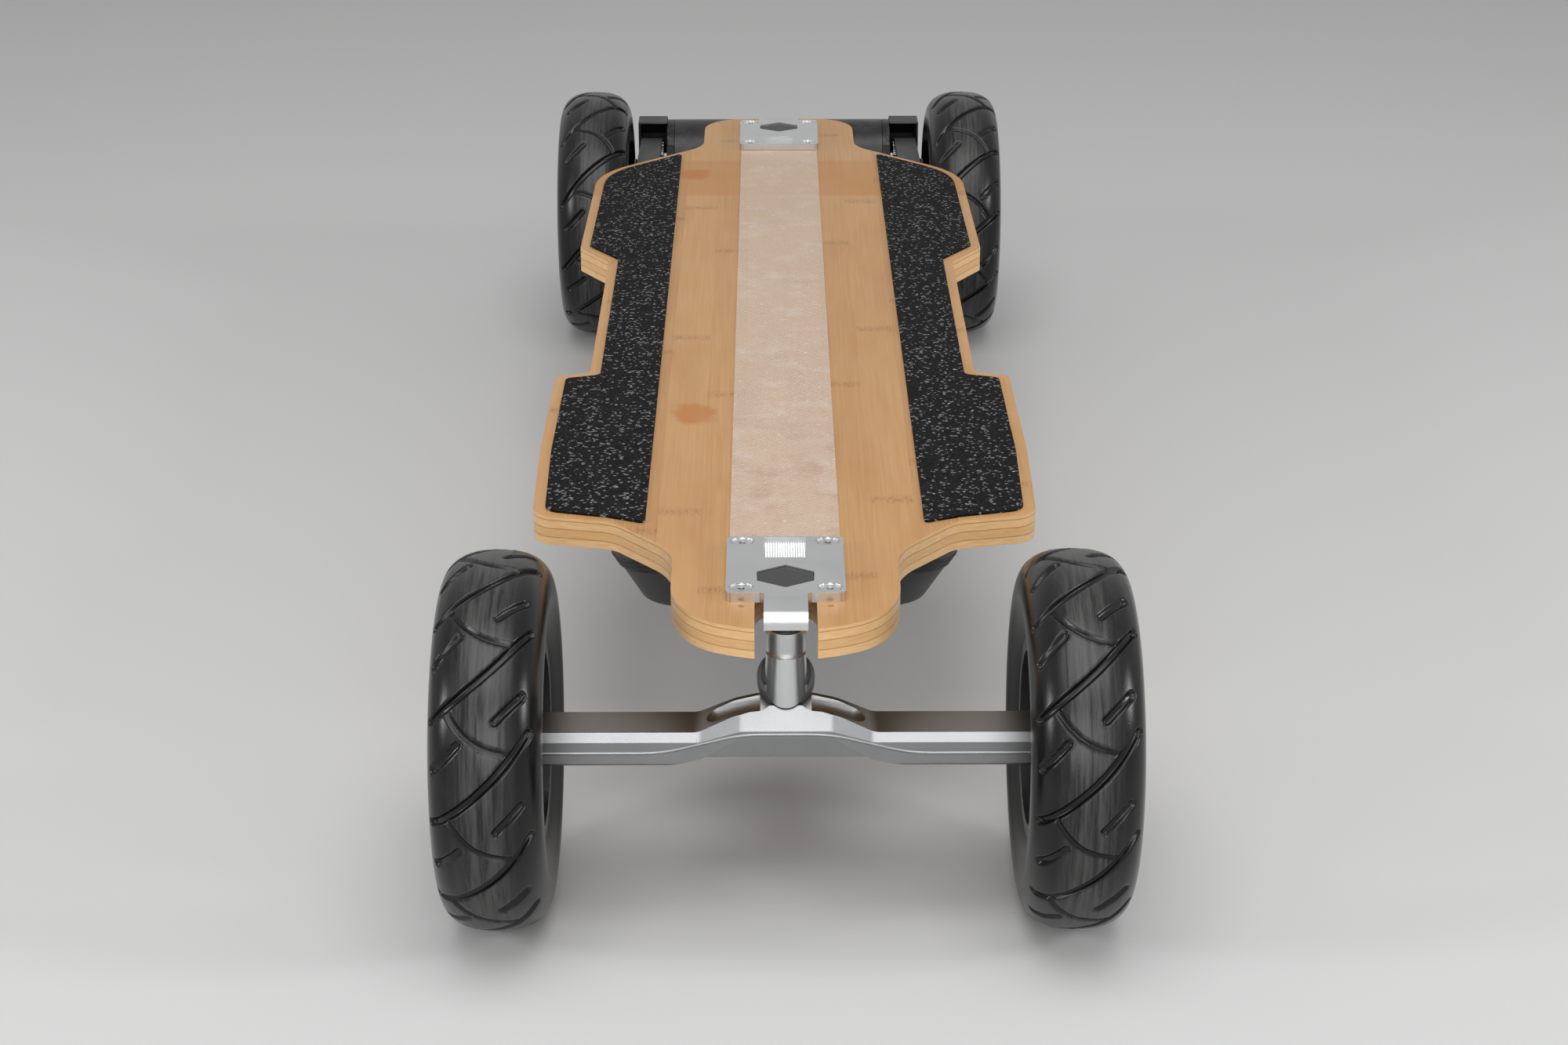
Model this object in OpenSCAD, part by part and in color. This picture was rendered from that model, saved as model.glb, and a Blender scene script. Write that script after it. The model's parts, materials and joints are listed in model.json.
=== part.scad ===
// Electric mountainboard: bamboo deck, double-pivot trucks, air tyres, belt drive at the rear.
// Millimetres. +Z is up, the nose points to -Y, the origin lies on the ground under the middle.
// Left is the -X side, as seen from in front of the nose. In a truck, s is measured inboard.

/* [Deck] */
// Length of the deck from nose to tail
deck_len = 892; // [850:2:940]
// Thickness of the bamboo deck
deck_t = 15; // [12:0.5:18]
// Height of the deck's top face above the ground
deck_top = 155; // [152:0.5:160]
// Width of the deck at its widest
deck_w = 256; // [246:2:266]
// Width of the deck at the waist
waist_w = 217; // [205:1:225]
// Width of the nose and the tail
nose_w = 108; // [96:2:116]
// Width of the slot in the nose and the tail
slot_w = 29; // [26:0.5:32]
// Gap between the two grip panels
grip_gap = 138; // [128:2:146]
// Bare rim of bamboo outside each grip panel
grip_inset = 6; // [4:0.5:9]
// Thickness of the grip panels
grip_t = 1.2; // [0.8:0.1:1.6]
// Width of the clear strip along the middle
strip_w = 54; // [40:1:56]
// Thickness of the clear strip
strip_t = 0.6; // [0.4:0.1:1]

/* [Trucks] */
// How far the nose and the tail reach past the axles
tip_reach = 21; // [16:0.5:26]
// Length of a top plate along the board
plate_len = 66; // [62:1:70]
// Width of a top plate
plate_w = 56; // [52:1:60]
// Thickness of a top plate
plate_t = 5; // [4:0.5:6]
// Distance from the axle inboard to the near edge of the front top plate
plate_start = 9; // [8:0.5:11]
// How much nearer to its axle the rear top plate sits
rear_shift = 8; // [6:0.5:8]
// Spacing of the deck bolts across the board
bolt_dx = 41.3; // [38:0.1:44]
// Spacing of the deck bolts along the board
bolt_dy = 53.8; // [50:0.1:54]
// Diameter of the deck bolts
bolt_d = 5; // [4:0.5:5]
// Lean of the upper pivot from the vertical, in degrees
upper_lean = 15; // [10:1:20]
// Lean of the lower pivot from the vertical, in degrees
lower_lean = 40; // [36:1:43]
// Diameter of the upper kingpin
upper_pin_d = 8; // [7:0.5:9]
// Diameter of the lower kingpin
lower_pin_d = 10; // [8:0.5:11]
// Outer diameter of the upper barrel of the link
barrel_d = 18.5; // [17.5:0.5:20]
// Outer diameter of the foot of the link
foot_d = 20.5; // [19.5:0.5:21.5]
// Diameter of the bushings on the lower kingpin
bushing_d = 27; // [25:0.5:28]
// Thickness of the bushing above the hanger
bushing_top_t = 9; // [8:0.5:10]
// Thickness of the bushing below the hanger
bushing_low_t = 12; // [10:0.5:14]
// Thickness of the hanger's ring
ring_t = 12; // [11:0.5:13]
// Height of the hanger beam
beam_h = 16; // [14:0.5:18]
// Depth of the hanger beam ahead of the axle line
beam_out = 15; // [13:0.5:16]
// Depth of the hanger beam inboard of the axle line
beam_in = 10; // [8:0.5:11]
// Diameter of the axles
axle_d = 10; // [8:0.5:10]

/* [Wheels] */
// Outer diameter of the tyres
tyre_d = 178; // [174:1:180]
// Width of the tyres
tyre_w = 51; // [46:1:53]
// Thickness of the tyre's crown
tyre_wall = 5; // [4:0.5:6]
// How many times the tread's pattern repeats around a tyre
tread_count = 11; // [9:1:14]
// Depth of the tread's grooves
tread_depth = 2; // [1.5:0.1:2.5]
// Distance from the middle of the board to the middle of a wheel
wheel_x = 134.5; // [133:0.5:138]
// Diameter of the bead seat
bead_d = 88; // [84:1:92]
// Width of the rim
rim_w = 42; // [38:1:43]
// Number of spokes
spokes = 5; // [4:1:7]
// Outer diameter of the wheel bearings
bearing_d = 26; // [24:1:28]
// Width of the wheel bearings
bearing_w = 8; // [7:0.5:9]
// Diameter of the inflated inner tube's valve
valve_d = 6; // [5:0.5:7]

/* [Drive] */
// Distance from the axle outboard to the motor shaft
motor_s = 73; // [71:0.5:76]
// Height of the motor shaft above the axle
motor_up = 23; // [20:0.5:25]
// Diameter of the motor can
motor_d = 56; // [52:1:58]
// Length of the motor can
motor_len = 52; // [44:1:58]
// Outer diameter of the wheel pulley
big_pulley_d = 76; // [72:1:80]
// Outer diameter of the motor pulley
small_pulley_d = 22; // [20:1:24]
// Number of teeth on the wheel pulley
big_teeth = 48; // [44:1:52]
// Number of teeth on the motor pulley
small_teeth = 14; // [12:1:16]
// Width of the drive belt
belt_w = 16; // [14:0.5:17]
// Thickness of the drive belt
belt_t = 2.6; // [2:0.2:3.2]
// Thickness of the motor mount plates
mount_t = 6; // [5:0.5:7]
// Size of a belt cover across its flats
cover_size = 57; // [54:1:60]

/* [Battery box] */
// Distance along the deck from the front top plate to the box
front_clear = 24; // [18:1:34]
// Distance along the deck from the rear top plate to the box
rear_clear = 52; // [40:1:60]
// Width of the box at its top
box_w = 176; // [166:2:180]
// Width of the box at its floor
box_floor_w = 150; // [144:2:160]
// Height of the box's floor above the ground
box_low = 86; // [80:1:92]
// Run of the sloped ends of the box
box_slope = 56; // [44:2:64]
// Wall of the box
box_wall = 3; // [2.5:0.5:4]
// Diameter of the power button
button_d = 16; // [12:1:20]
// Diameter of the charge socket
socket_d = 18; // [14:1:20]

/* [Hidden] */
$fn = 64;
LEFT = -1;
RIGHT = 1;

// General
eps = 0.01;
big = 60;
running_gap = 0.05;
free_gap = 0.3;
arc_steps = 8;

// Deck
deck_low = deck_top - deck_t;
axle_z = tyre_d / 2;
tip_y = deck_len / 2;
axle_y = tip_y - tip_reach;
half_deck = deck_w / 2;
half_waist = waist_w / 2;
half_nose = nose_w / 2;
pilot_d = 3.2;
pilot_gap = 3.6;
slot_depth = 14;

// Corners of the right half of the deck, from nose to tail: x, y and corner radius
deck_half = [
    [half_nose - 38, -tip_y, 75],
    [half_nose - 12.4, -tip_y + 11.5, 36],
    [half_nose, -tip_y + 36, 57],
    [half_nose, -tip_y + 90, 40],
    [half_nose + 31, -tip_y + 126, 20],
    [half_deck - 2.5, -tip_y + 134, 13],
    [half_deck, -tip_y + 220, 150],
    [half_deck - 0.5, -tip_y + 336, 5],
    [half_waist, -tip_y + 341.5, 4],
    [half_waist, tip_y - 348, 5],
    [half_deck, tip_y - 318, 6],
    [half_deck - 2, tip_y - 145, 67],
    [half_nose, tip_y - 76, 28],
    [half_nose, tip_y, 28]
];

// Corners of the right grip panel, which follows the deck's edge
grip_in = grip_gap / 2;
grip_front = -tip_y + 131;
grip_rear = tip_y - 96;
grip_half = [
    [grip_in, grip_front - 8, 2],
    [half_nose + 31 + grip_inset / 2, grip_front, 18],
    [half_deck - 2.5 - grip_inset, grip_front + 8, 9],
    [half_deck - grip_inset, -tip_y + 220, 150],
    [half_deck - grip_inset - 0.5, -tip_y + 336 - grip_inset, 4],
    [half_waist - grip_inset, -tip_y + 341.5 - grip_inset, 5],
    [half_waist - grip_inset, tip_y - 346 + grip_inset / 2, 6],
    [half_deck - grip_inset, tip_y - 318 + grip_inset / 2, 5],
    [half_deck - 2 - grip_inset, tip_y - 145 - grip_inset / 2, 62],
    [grip_in, grip_rear - 0.4 * grip_inset, 2]
];

// Trucks
plate_top = deck_top + plate_t;
plate_end = plate_start + plate_len;
plate_mid = plate_start + plate_len / 2;
tongue_w = 20.5;
tongue_out = 9.5;
tongue_round = 6;
neck = 4;
upper_top = [0, 0, deck_top - 6];
upper_gap = 2.7;
upper_len = 16;
sleeve_len = 14;
sleeve_d = barrel_d - 5.5;
pin_up = 4.4;
knee_s = 2;
knee_z = deck_top - 22;
foot_z = deck_top - 38;
lower_seat = [0, 5, deck_top - 35];
pin_in_link = 7;
collar_t = 4;
ring_d = bushing_d - 2;
ring_z = -bushing_top_t - ring_t;
bushing_low_d = bushing_d - 3;
washer_t = 2;
nut_af = 17;
nut_h = 8;
nut_z = ring_z - bushing_low_t - washer_t - nut_h;
head_d = 9.6;
head_h = 2.8;
slot_recess = [12, 7, 0.6];
deck_nut_af = 8;
deck_nut_h = 5;
badge_s = 19;
badge_len = 26;
badge_flat = 10.4;
badge_w = 27;
badge_t = 1.2;
badge_recess = 2;
badge_gap = 0.2;
pocket = [20, 24, 3];
pocket_rim = 1;

// Hangers
beam_top = axle_z + beam_h / 2 + 1;
beam_low = beam_top - beam_h;
arch_up = 3.5;
arch_x = 41;
arch_ramp = 55;
beam_ease = 1.5;
beam_chamfer = 3.5;
scoop_r = 8.5;
scoop_s = -0.5;
scoop_x = [14, 33];
scoop_up = 13.1;
scoop_tilt = 12;
slope = 45;
panel_x = 21;
panel_ramp = 46;
panel_lip = 3.1;
panel_deep = 1;
panel_lean = 9;
web_w = 24;
web_reach = 3;

// Rims of the hump, from the side inwards: x, height above the beam's top and corner radius.
// The first is the hump's outline, the second the upper edge of its front face.
hump_rim = [[41, 0, 12], [24, 7.3, 30], [7.5, 11.2, 12]];
face_rim = [[40.5, -beam_chamfer, 12], [21, 2.2, 12]];

// Wheels, measured from the middle plane of the wheel, inboard positive
hub_in = 17.5;
hub_out = -14;
hub_d = bearing_d + 8;
spoke_in = 8;
spoke_t = 12;
spoke_w = 9;
rim_t = 3;
flange_d = bead_d + 7;
tyre_mid_r = tyre_d / 2 - 23;
tube_wall = 1.5;
tread_shoulder = 0.8;

// Grooves in one pitch of the tread: start and end, each as its distance across from the middle
// plane and around from the pitch's start, both as a share of the tyre's width, then the width
grooves = [
    [[-0.44, 0.00], [-0.03, 0.34], 3.5],
    [[-0.07, 0.30], [0.41, 0.87], 3.5],
    [[-0.31, 0.09], [-0.12, -0.17], 2.3],
    [[-0.15, -0.14], [0.27, -0.33], 2.3],
    [[-0.43, 0.53], [-0.21, 0.78], 3.6],
    [[0.12, -0.03], [0.34, 0.21], 3.6]
];
boss_d = 18;
boss_len = 1.3;
beam_front_x = wheel_x - hub_in - boss_len;
nut_t = 8;
axle_end = wheel_x - hub_out + free_gap + nut_t + 2;

// Drive
belt_mid = wheel_x - tyre_w / 2 - 4.5 - belt_w / 2;
belt_in_x = belt_mid - belt_w / 2;
belt_out_x = belt_mid + belt_w / 2;
pulley_side = 1;
cover_wall = 1.5;
cover_open = 8;
mount_x = belt_in_x - 4 - mount_t;
beam_rear_x = mount_x + mount_t + 0.5;
motor_z = axle_z + motor_up;
motor_wall = 2.5;
mount_eye_r = 21;
mount_waist = 6;
shaft_d = 8;
motor_pitch = sqrt(motor_s * motor_s + motor_up * motor_up);
motor_angle = atan2(motor_up, -motor_s);
big_r = big_pulley_d / 2;
small_r = small_pulley_d / 2;

// Battery box
box_front = axle_y - plate_end - front_clear;
box_rear = axle_y - plate_end + rear_shift - rear_clear;
gasket_t = 1;
skin = 0.05;
box_top = deck_low - gasket_t;
side_lean = atan2((box_w - box_floor_w) / 2, box_top - box_low);
flange_w = box_w + 20;
flange_t = 3;
flange_front = box_front - 24;
flange_rear = box_rear - 18;
screw_d = 4;
screw_rows = 5;
port_z = (box_top + box_low) / 2 + 3;
button_y = box_rear - 186;
socket_y = box_rear - 131;
button_travel = 1.5;
flap_z = 1.8;
flap_t = 2.2;
flap_reach = socket_d / 2 + 6.5;
hinge_z = 3.6;
hinge_d = 1.3;
cell_d = 18.5;
pack_w = 130;
pack_gap = 79.75;
cable_room = 95;
controller_gap = 21;
controller = [92, 78, 22];
controller_y = box_rear - box_slope - controller_gap - controller[1] / 2;
pack_start = -box_front + box_slope + pack_gap;
cell_cols = floor((controller_y - controller[1] / 2 - cable_room - pack_start) / cell_d);
heat_slots = 7;
heat_slot_w = 8;
heat_edge = 6;
heat_base = 12;
gland_d = 12;
gland_x = 38;
gland_nut_h = 6;
gland_cap_h = 6;
gland_bore = 5;

// Points of an arc that rounds corner b between a and c
function unit(v) = v / norm(v);
function fillet(a, b, c, r, n) =
    let (p = [b[0], b[1]])
    let (u = unit([a[0], a[1]] - p), v = unit([c[0], c[1]] - p))
    let (half = acos(max(-1, min(1, u * v))) / 2)
    let (reach = min(r / tan(half), 0.49 * norm([a[0], a[1]] - p), 0.49 * norm([c[0], c[1]] - p)))
    let (rr = reach * tan(half), mid = p + unit(u + v) * rr / sin(half))
    let (from = p + u * reach - mid, to = p + v * reach - mid)
    let (turn = 180 - 2 * half, way = sign(from[0] * to[1] - from[1] * to[0]))
    [for (i = [0:n]) let (t = way * turn * i / n)
        mid + [from[0] * cos(t) - from[1] * sin(t), from[0] * sin(t) + from[1] * cos(t)]];

// Closed outline with rounded corners, each given as x, y and radius
function rounded(c) = [for (i = [0:len(c) - 1])
    let (a = c[(i + len(c) - 1) % len(c)], b = c[i], d = c[(i + 1) % len(c)])
    each (b[2] > 0 ? fillet(a, b, d, b[2], arc_steps) : [[b[0], b[1]]])];

// The same corners on the other side of the middle line
function mirrored(c) = [for (i = [len(c) - 1:-1:0]) [-c[i][0], c[i][1], c[i][2]]];

// Outline of a band around two circles: one at the origin, one on +X at distance d
function band(r1, r2, d, n) =
    let (lean = acos((r1 - r2) / d))
    concat([for (i = [0:n]) let (t = lean + (360 - 2 * lean) * i / n) r1 * [cos(t), sin(t)]],
           [for (i = [0:n]) let (t = -lean + 2 * lean * i / n) [d, 0] + r2 * [cos(t), sin(t)]]);

// Frames
module at_front() { translate([0, -axle_y, 0]) children(); }
module at_rear() { translate([0, axle_y, 0]) rotate([0, 0, 180]) children(); }
module at_upper() { translate(upper_top) rotate([upper_lean, 0, 0]) children(); }
module at_lower() { translate(lower_seat) rotate([lower_lean, 0, 0]) children(); }
module along_x(h) { rotate([90, 0, 90]) linear_extrude(height = h, center = true) children(); }
module along_y(h) { rotate([90, 0, 0]) linear_extrude(height = h, center = true) children(); }

// Wheel frame: local +Z points inboard, for the left or right end of an axle
module at_wheel(side) {
    translate([side * wheel_x, 0, axle_z]) rotate([0, -90 * side, 0]) children();
}

// Frame of the motor shaft, with local +Z pointing inboard from the middle of the wheel
module at_motor(side) {
    translate([side * wheel_x, -motor_s, motor_z]) rotate([0, -90 * side, 0]) children();
}

// Frame on the battery box's right wall, with local +Z pointing out of the wall
module at_wall(y) {
    half = (box_floor_w + (box_w - box_floor_w) * (port_z - box_low) / (box_top - box_low)) / 2;
    translate([half, y, port_z]) rotate([0, 90 + side_lean, 0]) children();
}

module tube(d_out, d_in, z0, z1) {
    translate([0, 0, z0]) difference() {
        cylinder(d = d_out, h = z1 - z0);
        translate([0, 0, -eps]) cylinder(d = d_in, h = z1 - z0 + 2 * eps);
    }
}

module hex_nut(af, d_in, z0, z1) {
    translate([0, 0, z0]) difference() {
        cylinder(d = af / cos(30), h = z1 - z0, $fn = 6);
        translate([0, 0, -eps]) cylinder(d = d_in, h = z1 - z0 + 2 * eps, $fn = 48);
    }
}

// One child at each of the four bolts of a top plate
module at_bolts() {
    for (x = [-1, 1], y = [-1, 1])
        translate([x * bolt_dx / 2, plate_mid + y * bolt_dy / 2, 0]) children();
}

module both_trucks() {
    at_front() children();
    at_rear() children();
}

// The place of each top plate, where s is measured as on the front one
module both_plates() {
    at_front() children();
    at_rear() translate([0, -rear_shift, 0]) children();
}

// Deck
module nose_slot() {
    translate([-slot_w / 2, -big, deck_low - eps])
        cube([slot_w, big + slot_depth, deck_t + 2 * eps]);
    translate([0, slot_depth, deck_low - eps]) cylinder(d = slot_w, h = deck_t + 2 * eps);
}

module deck() {
    color("burlywood") difference() {
        translate([0, 0, deck_low]) linear_extrude(height = deck_t)
            polygon(rounded(concat(deck_half, mirrored(deck_half))));
        both_trucks() nose_slot();
        both_plates() translate([0, 0, deck_low - eps]) {
            at_bolts() cylinder(d = bolt_d + 2 * running_gap, h = deck_t + 2 * eps);
            for (x = [-1, 1]) translate([x * bolt_dx / 2, plate_start - pilot_gap, 0])
                cylinder(d = pilot_d, h = deck_t + 2 * eps);
        }
        box_screw_places() translate([0, 0, deck_low - eps])
            cylinder(d = screw_d, h = 8);
    }
}

module grip_panels() {
    color("#1c1c1e") translate([0, 0, deck_top]) linear_extrude(height = grip_t) {
        polygon(rounded(grip_half));
        polygon(rounded(mirrored(grip_half)));
    }
}

module centre_strip() {
    run = axle_y - plate_end - 1;
    color("#e2cdb8") translate([-strip_w / 2, -run, deck_top])
        cube([strip_w, 2 * run + rear_shift, strip_t]);
}

// Top plates
function plate_outline() = [
    [-plate_w / 2, plate_end, 3], [-plate_w / 2, plate_start, 3],
    [-tongue_w / 2, plate_start, 3.5], [-tongue_w / 2, plate_start - neck, 0],
    [tongue_w / 2, plate_start - neck, 0], [tongue_w / 2, plate_start, 3.5],
    [plate_w / 2, plate_start, 3], [plate_w / 2, plate_end, 3]
];

function badge_outline(grow) =
    let (x = badge_w / 2 + grow, s0 = plate_start + badge_s)
    let (y = badge_len / 2 + grow, flat = badge_flat / 2 + grow / 2)
    [[0, s0 - y], [x, s0 - flat], [x, s0 + flat], [0, s0 + y], [-x, s0 + flat], [-x, s0 - flat]];

// Side view of the tongue, which lies square to the upper kingpin: s and z from the plate's edge
function tongue_side(start) =
    let (seat = upper_top[2] + upper_gap / cos(upper_lean), fall = tan(upper_lean))
    let (low = function (s) seat + s * fall)
    let (edge = plate_top - (start - neck + tongue_out) * fall, r = tongue_round)
    concat([[start + 5, plate_top], [start - neck, plate_top]],
           [for (t = [0:15:90]) [-tongue_out + r, edge - r + r * fall]
               + [-r * sin(t), r * cos(t)]],
           [[-tongue_out, low(-tongue_out)], [start + 1, low(start + 1)],
            [start + 5, max(deck_top, low(start + 1))]]);

module plate_body() {
    difference() {
        translate([0, 0, deck_top]) linear_extrude(height = plate_t)
            polygon(rounded(plate_outline()));
        at_bolts() {
            translate([0, 0, deck_top - eps])
                cylinder(d = bolt_d + 2 * running_gap, h = plate_t + 1);
            translate([0, 0, plate_top - slot_recess[2] - head_h])
                cylinder(d1 = bolt_d + 2 * running_gap, d2 = head_d + 2 * free_gap, h = head_h);
            translate([0, 0, plate_top - slot_recess[2]]) {
                for (x = [-1, 1]) translate([x * (slot_recess[0] - slot_recess[1]) / 2, 0, 0])
                    cylinder(d = slot_recess[1], h = 1);
                cylinder(d = head_d + 2 * free_gap, h = 1);
                translate([-(slot_recess[0] - slot_recess[1]) / 2, -slot_recess[1] / 2, 0])
                    cube([slot_recess[0] - slot_recess[1], slot_recess[1], 1]);
            }
        }
        translate([0, 0, plate_top - badge_recess]) linear_extrude(height = badge_recess + 1)
            polygon(badge_outline(0));
        translate([-pocket[0] / 2, plate_end - pocket_rim - pocket[1], plate_top - pocket[2]])
            cube([pocket[0], pocket[1], pocket[2] + 1]);
    }
}

module baseplate(shift) {
    difference() {
        union() {
            translate([0, -shift, 0]) plate_body();
            along_x(tongue_w) polygon(tongue_side(plate_start - shift));
        }
        at_upper() cylinder(d = upper_pin_d, h = upper_gap + pin_up);
    }
}

module front_baseplate() { color("#c9cacc") at_front() baseplate(0); }
module rear_baseplate() { color("#c9cacc") at_rear() baseplate(rear_shift); }

module plate_badges() {
    color("#242428") both_plates() translate([0, 0, plate_top - badge_recess])
        linear_extrude(height = badge_t) polygon(badge_outline(-badge_gap));
}

module deck_bolts() {
    top = plate_top - slot_recess[2];
    color("#b9babd") both_plates() at_bolts() difference() {
        union() {
            translate([0, 0, top - head_h]) cylinder(d1 = bolt_d, d2 = head_d, h = head_h);
            translate([0, 0, deck_low - deck_nut_h - 2])
                cylinder(d = bolt_d, h = top - deck_low + deck_nut_h + 2 - head_h + eps);
        }
        translate([0, 0, top - 1.8]) cylinder(d = 3.4, h = 3, $fn = 6);
    }
}

module deck_nuts() {
    color("#8f9094") both_plates() at_bolts() translate([0, 0, deck_low - deck_nut_h])
        hex_nut(deck_nut_af, bolt_d, 0, deck_nut_h);
}

module upper_kingpins() {
    color("#a9abb0") both_trucks() at_upper() translate([0, 0, -sleeve_len])
        cylinder(d = upper_pin_d, h = sleeve_len + upper_gap + pin_up);
}

module thrust_rings() {
    color("#1b1b1d") both_trucks() at_upper()
        tube(barrel_d - 3, upper_pin_d + 2 * running_gap, 0, upper_gap);
}

// Links between the upper and the lower pivot of each truck
module link() {
    difference() {
        union() {
            at_upper() translate([0, 0, -upper_len]) cylinder(d = barrel_d, h = upper_len);
            translate([0, knee_s, foot_z])
                cylinder(d1 = foot_d, d2 = barrel_d, h = knee_z - foot_z);
            translate([0, knee_s, foot_z - 14]) cylinder(d = foot_d, h = 14 + eps);
            at_lower() cylinder(d = foot_d + 1.5, h = collar_t);
        }
        at_lower() translate([0, 0, -big]) cylinder(r = big, h = big);
        at_lower() translate([0, 0, -eps]) cylinder(d = lower_pin_d, h = pin_in_link + eps);
        at_upper() translate([0, 0, -sleeve_len - 1]) cylinder(d = sleeve_d, h = big);
    }
}

module pivot_sleeve() {
    at_upper() tube(sleeve_d, upper_pin_d + 2 * running_gap, -sleeve_len - 1, 0);
}

module lower_kingpin() {
    at_lower() translate([0, 0, nut_z - 3]) cylinder(d = lower_pin_d, h = pin_in_link - nut_z + 3);
}

module kingpin_nut() {
    at_lower() {
        hex_nut(nut_af, lower_pin_d, nut_z, nut_z + nut_h);
        tube(bushing_d - 1, lower_pin_d, nut_z + nut_h, nut_z + nut_h + washer_t);
    }
}

module front_link() { color("#c4c5c8") at_front() link(); }
module rear_link() { color("#c4c5c8") at_rear() link(); }
module front_pivot_sleeve() { color("#3a3a3d") at_front() pivot_sleeve(); }
module rear_pivot_sleeve() { color("#3a3a3d") at_rear() pivot_sleeve(); }
module front_lower_kingpin() { color("#77797d") at_front() lower_kingpin(); }
module rear_lower_kingpin() { color("#77797d") at_rear() lower_kingpin(); }
module front_kingpin_nut() { color("#96989c") at_front() kingpin_nut(); }
module rear_kingpin_nut() { color("#96989c") at_rear() kingpin_nut(); }

// Hangers: the front view gives the hump and the arch, the side view eases the long edges
module hanger_front_view(end) {
    half = concat(
        [[arch_x, beam_low + arch_up, 0], [arch_ramp, beam_low, 0],
         [end, beam_low, 0], [end, beam_top, 0]],
        [for (p = hump_rim) [p[0], beam_top + p[1], p[2]]]);
    polygon(rounded(concat(half, mirrored(half))));
}

module hanger_side_view() {
    top = beam_top + hump_rim[2][1];
    ease = beam_ease;
    polygon([
        [-beam_out, beam_low + ease], [-beam_out, top], [beam_in - ease, top],
        [beam_in, top - ease], [beam_in, beam_low + ease],
        [beam_in - ease, beam_low], [-beam_out + ease, beam_low]
    ]);
}

// The front face's upper edge, drawn back and up to give the slope behind it
module hanger_slope(end) {
    rim = [for (p = face_rim) [p[0], p[1] * cos(slope), p[2]]];
    half = concat([[2 * end, -big, 0], [2 * end, rim[0][1], 0]], rim);
    translate([0, -beam_out, beam_top]) rotate([90 + slope, 0, 0])
        linear_extrude(height = big, center = true)
            polygon(rounded(concat(half, mirrored(half))));
}

// Panel cut back from the front face under the hump, leaning in towards its lower edge
module hanger_panel() {
    top = beam_top + face_rim[1][1] - panel_lip;
    intersection() {
        translate([0, -beam_out, 0]) along_y(big) polygon([
            [-panel_ramp, beam_low], [-panel_x, top], [panel_x, top], [panel_ramp, beam_low]
        ]);
        translate([0, -beam_out + panel_deep, top]) rotate([panel_lean, 0, 0])
            translate([-big, -big, -big]) cube([2 * big, big, big + 1]);
    }
}

// Hollows in the hump's top, between its front slope and the rim behind it
module hanger_scoops() {
    run = (scoop_x[1] - scoop_x[0]) / cos(scoop_tilt);
    for (side = [LEFT, RIGHT]) translate([side * scoop_x[0], scoop_s, beam_top + scoop_up])
        rotate([0, side * (90 + scoop_tilt), 0]) {
            cylinder(r = scoop_r, h = run);
            sphere(r = scoop_r);
            translate([0, 0, run]) sphere(r = scoop_r);
        }
}

module hanger(end) {
    difference() {
        union() {
            difference() {
                intersection() {
                    translate([0, (beam_in - beam_out) / 2, 0])
                        along_y(beam_in + beam_out + 2) hanger_front_view(end);
                    along_x(2 * end) hanger_side_view();
                    hanger_slope(end);
                }
                hanger_panel();
                hanger_scoops();
            }
            at_lower() translate([0, 0, ring_z]) cylinder(d = ring_d, h = ring_t);
            at_lower() translate([-web_w / 2, -ring_d / 2 - web_reach, ring_z])
                cube([web_w, ring_d / 2, ring_t]);
            for (side = [LEFT, RIGHT]) at_wheel(side)
                translate([0, 0, hub_in + free_gap])
                    cylinder(d = boss_d, h = wheel_x - end - hub_in - free_gap + eps);
        }
        translate([-wheel_x, 0, axle_z]) rotate([0, 90, 0])
            cylinder(d = axle_d, h = 2 * wheel_x);
        at_lower() translate([0, 0, ring_z - big])
            cylinder(d = lower_pin_d + 2 * running_gap, h = 2 * big);
        at_lower() translate([0, 0, ring_z - big]) cylinder(d = bushing_low_d + 1, h = big);
        at_lower() translate([0, 0, -bushing_top_t]) cylinder(d = bushing_d + 2, h = big);
    }
}

module bushings() {
    at_lower() {
        tube(bushing_d, lower_pin_d + 2 * running_gap, -bushing_top_t, 0);
        tube(bushing_low_d, lower_pin_d + 2 * running_gap, ring_z - bushing_low_t, ring_z);
    }
}

module axle() {
    translate([-axle_end, 0, axle_z]) rotate([0, 90, 0]) cylinder(d = axle_d, h = 2 * axle_end);
}

module axle_nuts() {
    for (side = [LEFT, RIGHT]) at_wheel(side)
        hex_nut(nut_af, axle_d, hub_out - free_gap - nut_t, hub_out - free_gap);
}

module front_hanger() { color("#a7a9ac") at_front() hanger(beam_front_x); }
module rear_hanger() { color("#222225") at_rear() hanger(beam_rear_x); }
module front_bushings() { color("#4a4a4d") at_front() bushings(); }
module rear_bushings() { color("#4a4a4d") at_rear() bushings(); }
module front_axle() { color("#8d8f93") at_front() axle(); }
module rear_axle() { color("#8d8f93") at_rear() axle(); }
module front_axle_nuts() { color("#9a9ca0") at_front() axle_nuts(); }
module rear_axle_nuts() { color("#9a9ca0") at_rear() axle_nuts(); }

// Wheels. The tyre's section is a squared ellipse above straight walls down to the beads.
function power_of(v, p) = sign(v) * pow(abs(v), p);
function crown(a, b, steps) = [for (i = [0:steps]) let (t = 180 * i / steps)
    [tyre_mid_r + b * power_of(sin(t), 0.7), a * power_of(cos(t), 0.8)]];

function tyre_cavity(gap) =
    let (a = tyre_w / 2 - 3.5 - gap, b = tyre_d / 2 - tyre_mid_r - tyre_wall - gap)
    concat([[bead_d / 2 + 4 + gap, rim_w / 2 - 7 - gap]], crown(a, b, 16),
           [[bead_d / 2 + 4 + gap, -rim_w / 2 + 7 + gap]]);

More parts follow.
